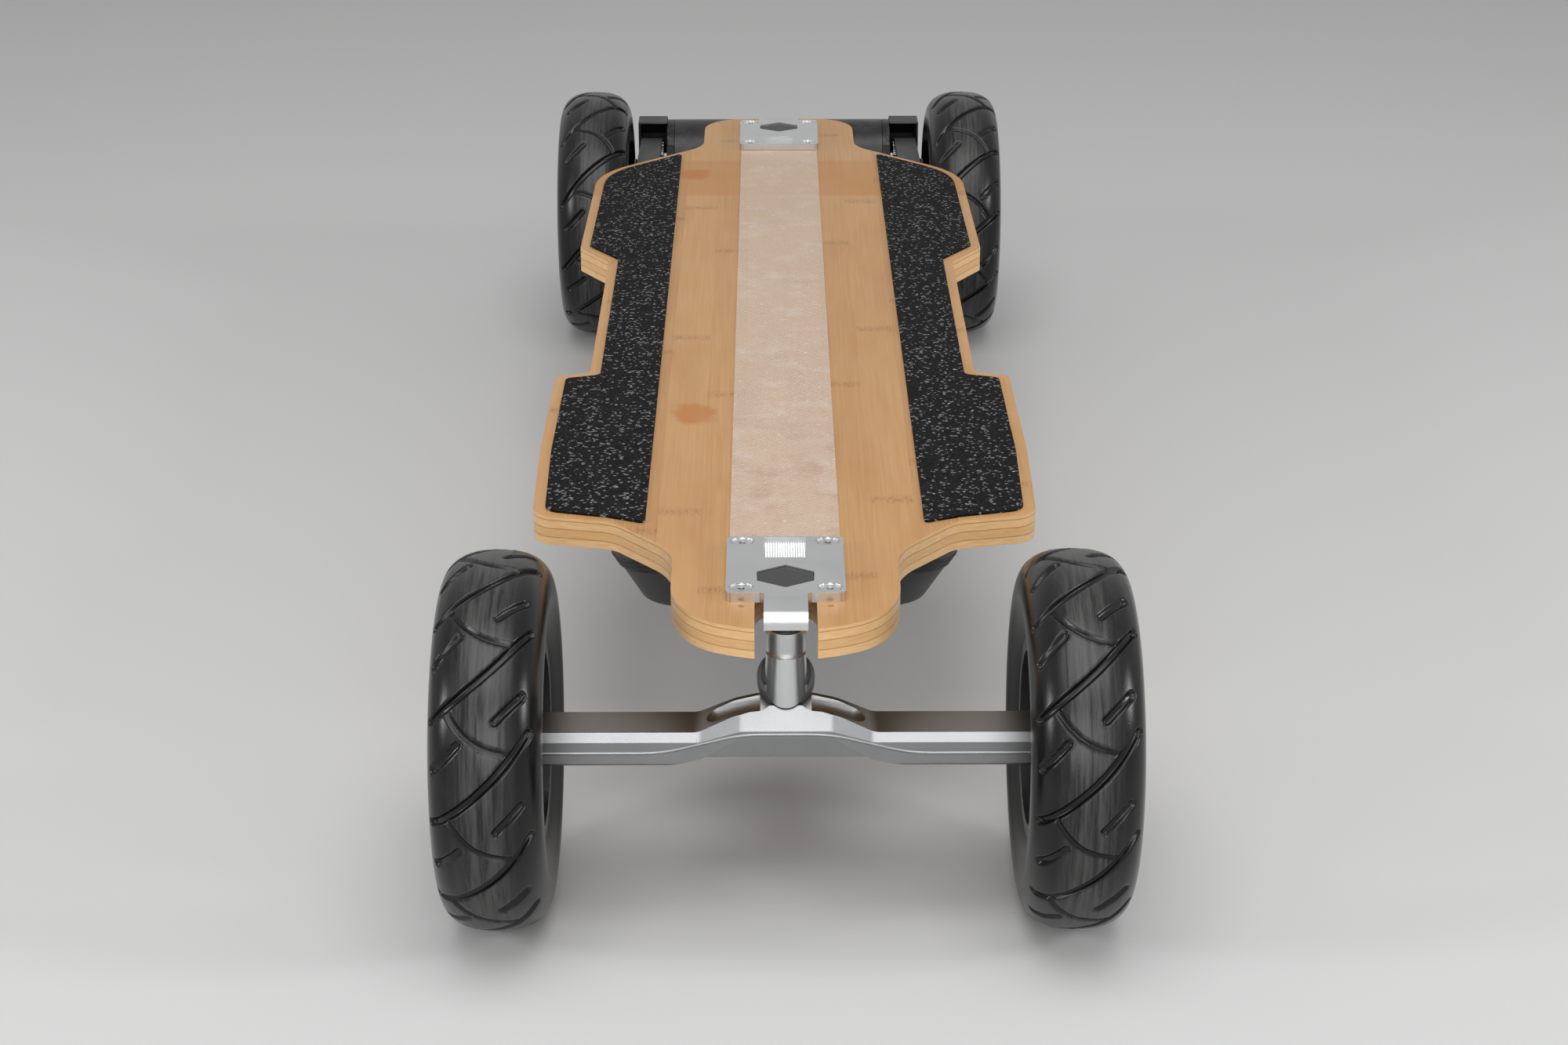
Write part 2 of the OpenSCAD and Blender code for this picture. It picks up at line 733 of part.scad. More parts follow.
module tyre_section() {
    bead = bead_d / 2 + 0.1;
    seat = rim_w / 2 - rim_t - 0.2;
    difference() {
        polygon(concat([[bead, 0], [bead, seat], [flange_d / 2 + 1.5, seat + 0.1]],
                       crown(tyre_w / 2, tyre_d / 2 - tyre_mid_r, 24),
                       [[flange_d / 2 + 1.5, -seat - 0.1], [bead, -seat]]));
        polygon(tyre_cavity(0));
        translate([bead - 1, -rim_w / 2 + 10]) square([8, rim_w - 20]);
    }
}

// Slab that a groove takes out of the tread, down to the carcass
module groove(g) {
    from = tyre_w * g[0];
    run = tyre_w * (g[1] - g[0]);
    turn = (from[1] + run[1] / 2) / (tyre_d / 2) * 180 / PI;
    rotate([90 - turn, 0, 0]) translate([from[0] + run[0] / 2, 0, tyre_mid_r])
        rotate([0, 0, atan2(run[1], run[0])]) translate([-norm(run) / 2, -g[2] / 2, 0])
            cube([norm(run), g[2], tyre_d / 2]);
}

module tread_grooves() {
    difference() {
        for (i = [0:tread_count - 1], g = grooves) rotate([i * 360 / tread_count, 0, 0]) groove(g);
        rotate([0, 90, 0]) rotate_extrude($fn = 120)
            polygon(concat([[0, tyre_w / 2]],
                crown(tyre_w / 2 - tread_shoulder, tyre_d / 2 - tyre_mid_r - tread_depth, 12),
                [[0, -tyre_w / 2]]));
    }
}

module tyre(side) {
    difference() {
        at_wheel(side) rotate_extrude($fn = 120) tyre_section();
        translate([side * wheel_x, 0, axle_z]) tread_grooves();
    }
}

module inner_tube(side) {
    stem = spoke_in - 2;
    at_wheel(side) difference() {
        union() {
            rotate_extrude($fn = 96) polygon(tyre_cavity(free_gap));
            rotate([0, 0, valve_turn()]) translate([bead_d / 2 - 14, 0, 0])
                rotate([0, 90, 0]) cylinder(d = valve_d, h = 22);
        }
        rotate_extrude($fn = 96) polygon(tyre_cavity(free_gap + tube_wall));
    }
}

function valve_turn() = 180 / spokes;

module rim_section() {
    r = bead_d / 2;
    polygon([
        [r - rim_t, -rim_w / 2], [flange_d / 2, -rim_w / 2], [flange_d / 2, -rim_w / 2 + rim_t],
        [r, -rim_w / 2 + rim_t], [r, rim_w / 2 - rim_t], [flange_d / 2, rim_w / 2 - rim_t],
        [flange_d / 2, rim_w / 2], [r - rim_t, rim_w / 2], [r - rim_t, 8], [r - rim_t - 2, 6],
        [r - rim_t - 2, -8], [r - rim_t, -10]
    ]);
}

module rim(side) {
    at_wheel(side) difference() {
        union() {
            rotate_extrude($fn = 96) rim_section();
            translate([0, 0, hub_out]) cylinder(d = hub_d, h = hub_in - hub_out);
            for (i = [0:spokes - 1]) rotate([0, 0, i * 360 / spokes])
                translate([hub_d / 2 - 4, -spoke_w / 2, spoke_in - spoke_t])
                    cube([bead_d / 2 - rim_t - hub_d / 2 + 3, spoke_w, spoke_t]);
        }
        translate([0, 0, hub_in - bearing_w]) cylinder(d = bearing_d, h = bearing_w + 1);
        translate([0, 0, hub_out - 1]) cylinder(d = bearing_d, h = bearing_w + 1);
        translate([0, 0, hub_out - 1]) cylinder(d = axle_d + 6, h = hub_in - hub_out + 2);
        rotate([0, 0, valve_turn()]) translate([bead_d / 2 - 8, 0, 0])
            rotate([0, 90, 0]) cylinder(d = valve_d + 2 * free_gap, h = 12);
    }
}

// Bearing with its seals set back a little from the faces of the rings
module bearing(z0) {
    bore = axle_d / 2 + running_gap;
    out = bearing_d / 2;
    translate([0, 0, z0]) rotate_extrude() polygon([
        [bore, 0], [bore + 2.2, 0], [bore + 2.2, 0.5], [out - 2.2, 0.5], [out - 2.2, 0],
        [out, 0], [out, bearing_w], [out - 2.2, bearing_w], [out - 2.2, bearing_w - 0.5],
        [bore + 2.2, bearing_w - 0.5], [bore + 2.2, bearing_w], [bore, bearing_w]
    ]);
}

module bearings(side) {
    at_wheel(side) {
        bearing(hub_out);
        bearing(hub_in - bearing_w);
    }
}

module front_left_tyre() { color("#1f1f21") at_front() tyre(LEFT); }
module front_right_tyre() { color("#1f1f21") at_front() tyre(RIGHT); }
module rear_left_tyre() { color("#1f1f21") at_rear() tyre(RIGHT); }
module rear_right_tyre() { color("#1f1f21") at_rear() tyre(LEFT); }
module front_left_tube() { color("#2a2a2c") at_front() inner_tube(LEFT); }
module front_right_tube() { color("#2a2a2c") at_front() inner_tube(RIGHT); }
module rear_left_tube() { color("#2a2a2c") at_rear() inner_tube(RIGHT); }
module rear_right_tube() { color("#2a2a2c") at_rear() inner_tube(LEFT); }
module front_left_rim() { color("#2b2b2e") at_front() rim(LEFT); }
module front_right_rim() { color("#2b2b2e") at_front() rim(RIGHT); }
module rear_left_rim() { color("#2b2b2e") at_rear() rim(RIGHT); }
module rear_right_rim() { color("#2b2b2e") at_rear() rim(LEFT); }
module front_left_bearings() { color("#b5b7ba") at_front() bearings(LEFT); }
module front_right_bearings() { color("#b5b7ba") at_front() bearings(RIGHT); }
module rear_left_bearings() { color("#b5b7ba") at_rear() bearings(RIGHT); }
module rear_right_bearings() { color("#b5b7ba") at_rear() bearings(LEFT); }

// Drive. Toothed pulleys are discs with round notches.
module toothed(r, teeth, depth) {
    difference() {
        circle(r = r, $fn = 96);
        for (i = [0:teeth - 1]) rotate(i * 360 / teeth) translate([r + 0.2, 0])
            circle(r = depth, $fn = 16);
    }
}

module wheel_pulley(side) {
    z_in = wheel_x - belt_in_x + pulley_side;
    z_out = wheel_x - belt_out_x - pulley_side;
    at_wheel(side) difference() {
        union() {
            translate([0, 0, z_out]) linear_extrude(height = z_in - z_out)
                toothed(big_r, big_teeth, 1.3);
            translate([0, 0, spoke_in]) cylinder(r = big_r - 6, h = z_out - spoke_in + 2);
            translate([0, 0, z_out - 1.2]) cylinder(r = big_r + 2, h = 1.2);
            translate([0, 0, z_in]) cylinder(r = big_r + 2, h = 1.2);
        }
        translate([0, 0, spoke_in - 1]) cylinder(r = big_r - 12, h = big);
    }
}

// Plate between the rear hanger's beam end and the motor
module motor_mount(side) {
    x_mid = mount_x + mount_t / 2;
    translate([side * x_mid, 0, 0]) along_x(mount_t) difference() {
        union() {
            translate([-motor_s, motor_z]) circle(d = motor_d, $fn = 96);
            translate([0, axle_z]) circle(r = mount_eye_r, $fn = 96);
            translate([0, axle_z]) rotate(motor_angle)
                polygon([[0, -mount_eye_r + 2], [0, mount_eye_r - 2],
                         [motor_pitch, motor_d / 2 - mount_waist],
                         [motor_pitch, -motor_d / 2 + mount_waist]]);
        }
        beam_hole();
        translate([-motor_s, motor_z]) circle(d = shaft_d + 6, $fn = 48);
    }
}

// Hole in the mount for the beam's section
module beam_hole() {
    gap = 2 * running_gap;
    translate([-beam_out - gap, beam_low - gap])
        square([beam_out + beam_in + 2 * gap, beam_h + 2 * gap]);
}

module motor(side) {
    z0 = wheel_x - mount_x;
    at_motor(side) difference() {
        union() {
            translate([0, 0, z0]) cylinder(d = motor_d, h = motor_len - 3, $fn = 96);
            translate([0, 0, z0 + motor_len - 3])
                cylinder(d1 = motor_d, d2 = motor_d - 6, h = 3, $fn = 96);
            translate([0, 0, z0 + motor_len - 12]) rotate([0, 90 - 90 * side, 0])
                rotate([-90, 0, 0]) translate([0, 0, motor_d / 2 - 3]) cylinder(d = 9, h = 8);
        }
        translate([0, 0, z0 + motor_wall])
            cylinder(d = motor_d - 2 * motor_wall, h = motor_len - 2 * motor_wall - 1, $fn = 96);
        translate([0, 0, z0 - 1]) cylinder(d = shaft_d + 2 * running_gap, h = motor_wall + 2);
    }
}

// Rotor drum, shaft and motor pulley
module rotor(side) {
    z0 = wheel_x - mount_x;
    z_in = wheel_x - belt_in_x + pulley_side;
    z_out = wheel_x - belt_out_x;
    drum_d = motor_d - 2 * motor_wall - 2 * free_gap;
    at_motor(side) {
        translate([0, 0, z_out]) cylinder(d = shaft_d, h = z0 + motor_len - motor_wall - 2 - z_out);
        tube(drum_d, shaft_d, z0 + motor_wall + 1, z0 + motor_len - motor_wall - 3);
        difference() {
            translate([0, 0, z_out]) linear_extrude(height = z_in - z_out)
                toothed(small_r, small_teeth, 1.2);
            translate([0, 0, z_out - 1]) cylinder(d = shaft_d, h = big);
        }
    }
}

module belt(side) {
    translate([side * belt_mid, 0, axle_z]) along_x(belt_w) rotate(motor_angle)
        difference() {
            polygon(band(big_r + free_gap + belt_t, small_r + free_gap + belt_t,
                         motor_pitch, 40));
            polygon(band(big_r + free_gap, small_r + free_gap, motor_pitch, 40));
        }
}

// Eight-sided cover over the motor pulley, open towards the wheel
module belt_cover(side) {
    reach = belt_out_x + cover_wall + free_gap;
    depth = reach - mount_x - mount_t;
    flats = cover_size / cos(22.5);
    translate([side * (reach - depth / 2), 0, 0]) difference() {
        translate([0, -motor_s, motor_z]) along_x(depth) rotate(22.5) circle(d = flats, $fn = 8);
        translate([-side * cover_wall, -motor_s, motor_z]) along_x(depth)
            rotate(22.5) circle(d = flats - 2 * cover_wall / cos(22.5), $fn = 8);
        translate([-big, -motor_s + cover_open, motor_z - big]) cube([2 * big, big, 2 * big]);
    }
}

module left_wheel_pulley() { color("#3b3b3e") at_rear() wheel_pulley(RIGHT); }
module right_wheel_pulley() { color("#3b3b3e") at_rear() wheel_pulley(LEFT); }
module left_rotor() { color("#7c7e82") at_rear() rotor(RIGHT); }
module right_rotor() { color("#7c7e82") at_rear() rotor(LEFT); }

module motor_mounts() {
    color("#1f1f22") at_rear() for (side = [LEFT, RIGHT]) motor_mount(side);
}

module motors() {
    color("#262629") at_rear() for (side = [LEFT, RIGHT]) motor(side);
}

module drive_belts() {
    color("#4b4c4e") at_rear() for (side = [LEFT, RIGHT]) belt(side);
}

module belt_covers() {
    color("#18181a") at_rear() for (side = [LEFT, RIGHT]) belt_cover(side);
}

// Battery box under the deck
module box_screw_places() {
    step = (flange_front + flange_rear - 40) / (screw_rows - 1);
    for (x = [-1, 1], i = [0:screw_rows - 1])
        translate([x * (flange_w / 2 - 6), -flange_front + 20 + i * step, 0]) children();
}

function box_corners(w, front, rear, r) =
    [[w / 2, -front, r], [w / 2, rear, r], [-w / 2, rear, r], [-w / 2, -front, r]];

module box_form(inset) {
    hull() {
        translate([0, 0, box_top - skin + (inset > 0 ? 1 : 0)]) linear_extrude(height = skin)
            polygon(rounded(box_corners(box_w - 2 * inset, box_front - inset,
                                        box_rear - inset, 16 - inset)));
        translate([0, 0, box_low + inset]) linear_extrude(height = skin)
            polygon(rounded(box_corners(box_floor_w - 2 * inset,
                                        box_front - box_slope - inset,
                                        box_rear - box_slope - inset, 22 - inset)));
    }
}

module battery_box() {
    color("#161617") difference() {
        union() {
            box_form(0);
            translate([0, 0, box_top - flange_t]) linear_extrude(height = flange_t)
                polygon(rounded(box_corners(flange_w, flange_front, flange_rear, 12)));
        }
        box_form(box_wall);
        box_screw_places() translate([0, 0, box_top - big / 2])
            cylinder(d = screw_d + 2 * running_gap, h = big);
        at_wall(button_y) translate([0, 0, -10]) cylinder(d = button_d + 6, h = 20);
        at_wall(socket_y) translate([0, 0, -10]) cylinder(d = socket_d, h = 20);
        gland_places() translate([0, 0, -10]) cylinder(d = gland_d, h = 20);
    }
}

module box_gasket() {
    color("#0f0f10") translate([0, 0, box_top]) linear_extrude(height = gasket_t) difference() {
        polygon(rounded(box_corners(flange_w, flange_front, flange_rear, 12)));
        polygon(rounded(box_corners(box_w - 2 * box_wall, flange_front - 6, flange_rear - 6, 10)));
        box_screw_places() circle(d = screw_d + 2 * running_gap);
    }
}

module box_screws() {
    color("#2c2c2f") box_screw_places() {
        translate([0, 0, box_top - flange_t]) cylinder(d = screw_d, h = flange_t + gasket_t + 7);
        translate([0, 0, box_top - flange_t - 2.4]) difference() {
            cylinder(d = 2 * screw_d - 0.6, h = 2.4);
            translate([0, 0, -eps]) cylinder(d = 2.6, h = 1.6, $fn = 6);
        }
    }
}

module battery_pack() {
    layer = cell_d * sin(60);
    low = box_low + box_wall + cell_d / 2;
    start = pack_start + cell_d / 2;
    color("#3566a8") along_x(pack_w) {
        for (i = [0:cell_cols - 1]) translate([start + i * cell_d, low]) circle(d = cell_d);
        for (i = [0:cell_cols - 2])
            translate([start + (i + 0.5) * cell_d, low + layer]) circle(d = cell_d);
        translate([start, low - cell_d / 2]) square([(cell_cols - 1) * cell_d, layer + cell_d / 2]);
    }
}

module motor_controller() {
    base = box_low + box_wall;
    pitch = (controller[0] - 2 * heat_edge - heat_slot_w) / (heat_slots - 1);
    color("#7f8286") difference() {
        translate([-controller[0] / 2, controller_y - controller[1] / 2, base]) cube(controller);
        for (i = [0:heat_slots - 1])
            translate([-controller[0] / 2 + heat_edge + i * pitch, controller_y - big, base + heat_base])
                cube([heat_slot_w, 2 * big, big]);
    }
}

// The glands stand square to the box's rear slope
module gland_places() {
    tilt = atan2(box_top - box_low, box_slope);
    for (x = [-1, 1]) translate([x * gland_x, box_rear - box_slope / 2, (box_top + box_low) / 2])
        rotate([tilt - 180, 0, 0]) children();
}

module cable_glands() {
    color("#141415") gland_places() difference() {
        union() {
            translate([0, 0, -box_wall - 4]) cylinder(d = gland_d, h = box_wall + 4);
            cylinder(d = (gland_d + 4) / cos(30), h = gland_nut_h, $fn = 6);
            translate([0, 0, gland_nut_h])
                cylinder(d1 = gland_d + 2, d2 = gland_d - 3, h = gland_cap_h);
        }
        translate([0, 0, gland_nut_h - 1]) cylinder(d = gland_bore, h = 2 * gland_cap_h);
    }
}

module button_bezel() {
    color("#8b8d91") at_wall(button_y) difference() {
        union() {
            translate([0, 0, -box_wall - 6]) cylinder(d = button_d + 6, h = box_wall + 6);
            cylinder(d1 = button_d + 10, d2 = button_d + 7, h = 2);
        }
        translate([0, 0, -box_wall - 4])
            cylinder(d = button_d + 2 * running_gap, h = box_wall + 8);
    }
}

module power_button() {
    color("#2a2a2c") at_wall(button_y)
        translate([0, 0, -box_wall - 4 + button_travel + 0.2])
            cylinder(d = button_d, h = box_wall + 4 - 0.2 + 0.8 - 0.2);
}

module charge_socket() {
    color("#9b9da1") at_wall(socket_y) difference() {
        union() {
            translate([0, 0, -box_wall - 8]) cylinder(d = socket_d, h = box_wall + 8);
            cylinder(d = socket_d + 5, h = flap_z - 0.2);
            translate([-flap_reach - 2.5, -8, 0]) cube([flap_reach, 16, flap_z - 0.2]);
            for (y = [-1, 1]) translate([-flap_reach - 2.5, y * 6.7 - 1.3, 0])
                cube([5, 2.6, hinge_z + 2]);
            translate([-flap_reach, 0, hinge_z]) rotate([90, 0, 0])
                cylinder(d = hinge_d, h = 15, center = true);
        }
        translate([0, 0, -8]) tube(socket_d - 3, 7, 0, 12);
        translate([0, 0, -8]) cylinder(d = 4, h = 12);
    }
}

// Rubber flap over the charge socket, hinged along its upper edge
module charge_cap() {
    color("#202022") at_wall(socket_y) difference() {
        union() {
            translate([0, 0, flap_z]) cylinder(d = socket_d + 5, h = flap_t);
            translate([-flap_reach, -5, flap_z]) cube([flap_reach, 10, flap_t]);
            translate([-flap_reach, 0, hinge_z]) rotate([90, 0, 0])
                cylinder(r = hinge_z - flap_z, h = 10, center = true);
        }
        translate([-flap_reach, 0, hinge_z]) rotate([90, 0, 0])
            cylinder(d = hinge_d + 2 * running_gap, h = 20, center = true);
    }
}

deck();
grip_panels();
centre_strip();
front_baseplate();
rear_baseplate();
plate_badges();
deck_bolts();
deck_nuts();
upper_kingpins();
thrust_rings();
battery_box();
box_gasket();
box_screws();
battery_pack();
motor_controller();
cable_glands();
button_bezel();
power_button();
charge_socket();
charge_cap();
front_link();
front_pivot_sleeve();
front_lower_kingpin();
front_kingpin_nut();
rear_link();
rear_pivot_sleeve();
rear_lower_kingpin();
rear_kingpin_nut();
front_hanger();
front_bushings();
front_axle();
front_axle_nuts();
rear_hanger();
rear_bushings();
rear_axle();
rear_axle_nuts();
front_left_tyre();
front_left_tube();
front_left_rim();
front_left_bearings();
front_right_tyre();
front_right_tube();
front_right_rim();
front_right_bearings();
rear_left_tyre();
rear_left_tube();
rear_left_rim();
rear_left_bearings();
rear_right_tyre();
rear_right_tube();
rear_right_rim();
rear_right_bearings();
left_wheel_pulley();
right_wheel_pulley();
motor_mounts();
motors();
left_rotor();
right_rotor();
drive_belts();
belt_covers();
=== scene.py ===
"""Electric mountainboard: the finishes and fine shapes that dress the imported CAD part.

Metres. +Z is up, the nose points to -Y, and left is -X as seen from in front of the nose.
In a truck, s is the distance inboard from the axle.
"""

from __future__ import annotations

import json
import logging
import math
from contextlib import contextmanager
from dataclasses import dataclass
from enum import Enum
from typing import Callable, Iterator

import bmesh
import bpy
import numpy as np
from mathutils import Matrix, Vector

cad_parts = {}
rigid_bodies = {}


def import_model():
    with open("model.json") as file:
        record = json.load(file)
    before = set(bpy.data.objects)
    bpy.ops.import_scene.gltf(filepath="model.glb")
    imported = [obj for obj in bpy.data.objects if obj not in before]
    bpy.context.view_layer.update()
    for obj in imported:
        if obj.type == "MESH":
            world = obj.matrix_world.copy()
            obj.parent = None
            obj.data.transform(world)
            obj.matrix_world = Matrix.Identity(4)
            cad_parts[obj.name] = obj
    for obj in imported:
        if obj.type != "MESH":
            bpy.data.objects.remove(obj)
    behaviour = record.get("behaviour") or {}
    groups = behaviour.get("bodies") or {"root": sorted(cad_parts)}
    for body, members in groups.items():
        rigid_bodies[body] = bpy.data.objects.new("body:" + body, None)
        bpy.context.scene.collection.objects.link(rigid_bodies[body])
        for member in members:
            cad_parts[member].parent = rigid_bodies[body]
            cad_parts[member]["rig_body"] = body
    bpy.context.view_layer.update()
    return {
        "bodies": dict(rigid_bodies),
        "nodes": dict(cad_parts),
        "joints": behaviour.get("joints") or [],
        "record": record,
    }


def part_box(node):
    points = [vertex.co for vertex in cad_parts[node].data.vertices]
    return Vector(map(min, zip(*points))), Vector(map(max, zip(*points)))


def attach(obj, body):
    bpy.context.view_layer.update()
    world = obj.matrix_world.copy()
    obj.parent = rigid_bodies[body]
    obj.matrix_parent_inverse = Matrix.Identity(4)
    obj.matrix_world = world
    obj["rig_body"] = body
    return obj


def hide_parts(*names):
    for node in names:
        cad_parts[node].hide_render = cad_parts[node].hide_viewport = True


LOG = logging.getLogger("mountainboard")
MM = 0.001

DECK_TOP = 155 * MM
DECK_T = 15 * MM
AXLE_Y = 425 * MM
PLATE_T = 5 * MM
PLATE_START = 9 * MM
PLATE_LEN = 66 * MM
REAR_SHIFT = 8 * MM

AMBER_Y = 289 * MM
AMBER_HALF = 40 * MM
WORN_Y = -290 * MM
WORN_HALF = 55 * MM
COAT_ROUGHNESS = 0.12

SEAM_GAP = 0.000004
FLAT_TURN = 0.6
SHARP_TURN = 28.0

Colour = tuple[float, float, float]
Point = tuple[float, float, float]
Test = Callable[[Vector, Vector], bool]
Piece = bpy.types.Object
Tree = bpy.types.NodeTree
Socket = bpy.types.NodeSocket
Roundings = tuple[tuple[str, float, int], ...]


class End(Enum):
    """The two ends of the board."""

    FRONT = "front"
    REAR = "rear"

    def place(self, x: float, s: float, z: float) -> Vector:
        """A point of the truck at this end, from x across, s inboard of the axle and height z."""
        sign = -1 if self is End.FRONT else 1
        return Vector((-sign * x, sign * (AXLE_Y - s), z))

    @property
    def half_turn(self) -> Matrix:
        """Takes the front of the board to this end."""
        return turn(0 if self is End.FRONT else math.pi, "Z")

    @property
    def plate_start(self) -> float:
        """Distance from the axle inboard to the near edge of the top plate."""
        return PLATE_START if self is End.FRONT else PLATE_START - REAR_SHIFT


class Side(Enum):
    """The two sides of the board, as seen from in front of the nose."""

    LEFT = "left"
    RIGHT = "right"

    @property
    def sign(self) -> int:
        """-1 for the left side, which is -X, and 1 for the right."""
        return -1 if self is Side.LEFT else 1


def turn(angle: float, axis: str) -> Matrix:
    """A turn in radians about an axis through the origin."""
    return Matrix.Rotation(angle, 4, axis)


def shift(x: float, y: float, z: float) -> Matrix:
    """A move."""
    return Matrix.Translation((x, y, z))


@dataclass(frozen=True)
class Wire:
    """A value in a node tree, which adds and multiplies as a number does."""

    graph: Graph
    socket: Socket

    def __add__(self, other: object) -> Wire:
        """This value and another, added."""
        return self.graph.math("ADD", self, other)

    def __sub__(self, other: object) -> Wire:
        """This value less another."""
        return self.graph.math("SUBTRACT", self, other)

    def __rsub__(self, other: object) -> Wire:
        """Another value less this one."""
        return self.graph.math("SUBTRACT", other, self)

    def __mul__(self, other: object) -> Wire:
        """This value times another."""
        return self.graph.math("MULTIPLY", self, other)

    def __truediv__(self, other: object) -> Wire:
        """This value divided by another."""
        return self.graph.math("DIVIDE", self, other)


class Graph:
    """Lays out one node tree."""

    def __init__(self, tree: Tree) -> None:
        """Starts on the node tree of a material or of a group."""
        self.tree = tree

    def node(self, kind: str, inputs: dict | None = None, **settings: object) -> bpy.types.Node:
        """Adds a node.

        Args:
            kind: the node's type without the word ShaderNode.
            inputs: a value or a wire for each input, by name or by index.
            **settings: the node's own properties.

        Returns:
            The node.
        """
        made = self.tree.nodes.new("ShaderNode" + kind)
        for name, value in settings.items():
            setattr(made, name, value)
        for name, value in (inputs or {}).items():
            self.feed(made.inputs[name], value)
        return made

    def out(self, made: bpy.types.Node, output: str | int = 0) -> Wire:
        """One output of a node."""
        return Wire(self, made.outputs[output])

    def feed(self, socket: Socket, value: object) -> None:
        """Links a wire to an input, or sets the input to a plain value or a colour.

        Args:
            socket: the input.
            value: a wire, a number, a vector or a colour.
        """
        if isinstance(value, Wire):
            self.tree.links.new(value.socket, socket)
        else:
            socket.default_value = (*value, 1) if socket.type == "RGBA" else value

    def math(self, operation: str, *values: object, clamp: bool = False) -> Wire:
        """The result of a Math node on one to three values."""
        return self.out(self.node("Math", dict(enumerate(values)), operation=operation, use_clamp=clamp))

    def mix(self, share: object, low: object, high: object, blend: str = "MIX") -> Wire:
        """A colour between low and high."""
        return self.out(self.node("Mix", {0: share, 6: low, 7: high}, data_type="RGBA", blend_type=blend), 2)

    def shaded(self, colour: Colour, value: Wire) -> Wire:
        """A plain colour made darker or lighter by a value."""
        grey = self.out(self.node("CombineColor", {0: value, 1: value, 2: value}))
        return self.mix(1.0, colour, grey, "MULTIPLY")

    def span(self, value: object, low: float, high: float, out_low: object = 0.0, out_high: object = 1.0) -> Wire:
        """A value taken from one span to another, and held at its ends."""
        return self.out(self.node("MapRange", {0: value, 1: low, 2: high, 3: out_low, 4: out_high}))

    def place(self) -> Wire:
        """The point of the surface in the object's own frame."""
        return self.out(self.node("TexCoord"), "Object")

    def upward(self) -> Wire:
        """How far the surface looks up, from -1 to 1."""
        return self.axes(self.out(self.node("NewGeometry"), "Normal"))[2]

    def scaled(self, vector: object, factors: Point, angles: Point = (0, 0, 0)) -> Wire:
        """A vector turned, then scaled.

        Args:
            vector: the vector.
            factors: its scale along each axis.
            angles: how far it is turned first, in radians.

        Returns:
            The new vector.
        """
        if any(angles):
            vector = self.out(self.node("Mapping", {"Vector": vector, "Rotation": angles}))
        return self.out(self.node("VectorMath", {0: vector, 1: factors}, operation="MULTIPLY"))

    def noise(self, vector: object, scale: object, detail: float = 3, rough: float = 0.5) -> Wire:
        """Fractal noise from 0 to 1."""
        return self.out(self.node("TexNoise", {"Vector": vector, "Scale": scale, "Detail": detail, "Roughness": rough}))

    def random(self, value: object) -> Wire:
        """A random number from 0 to 1 for each value."""
        return self.out(self.node("TexWhiteNoise", {"W": value}, noise_dimensions="1D"))

    def axes(self, vector: object) -> tuple[Wire, ...]:
        """The three parts of a vector."""
        made = self.node("SeparateXYZ", {0: vector})
        return tuple(self.out(made, i) for i in range(3))

    def near(self, value: Wire, middle: object, half: float, soft: float) -> Wire:
        """1 where a value lies within half of the middle, falling to 0 over soft."""
        return self.span(self.math("ABSOLUTE", value - middle), half, half + soft, 1.0, 0.0)


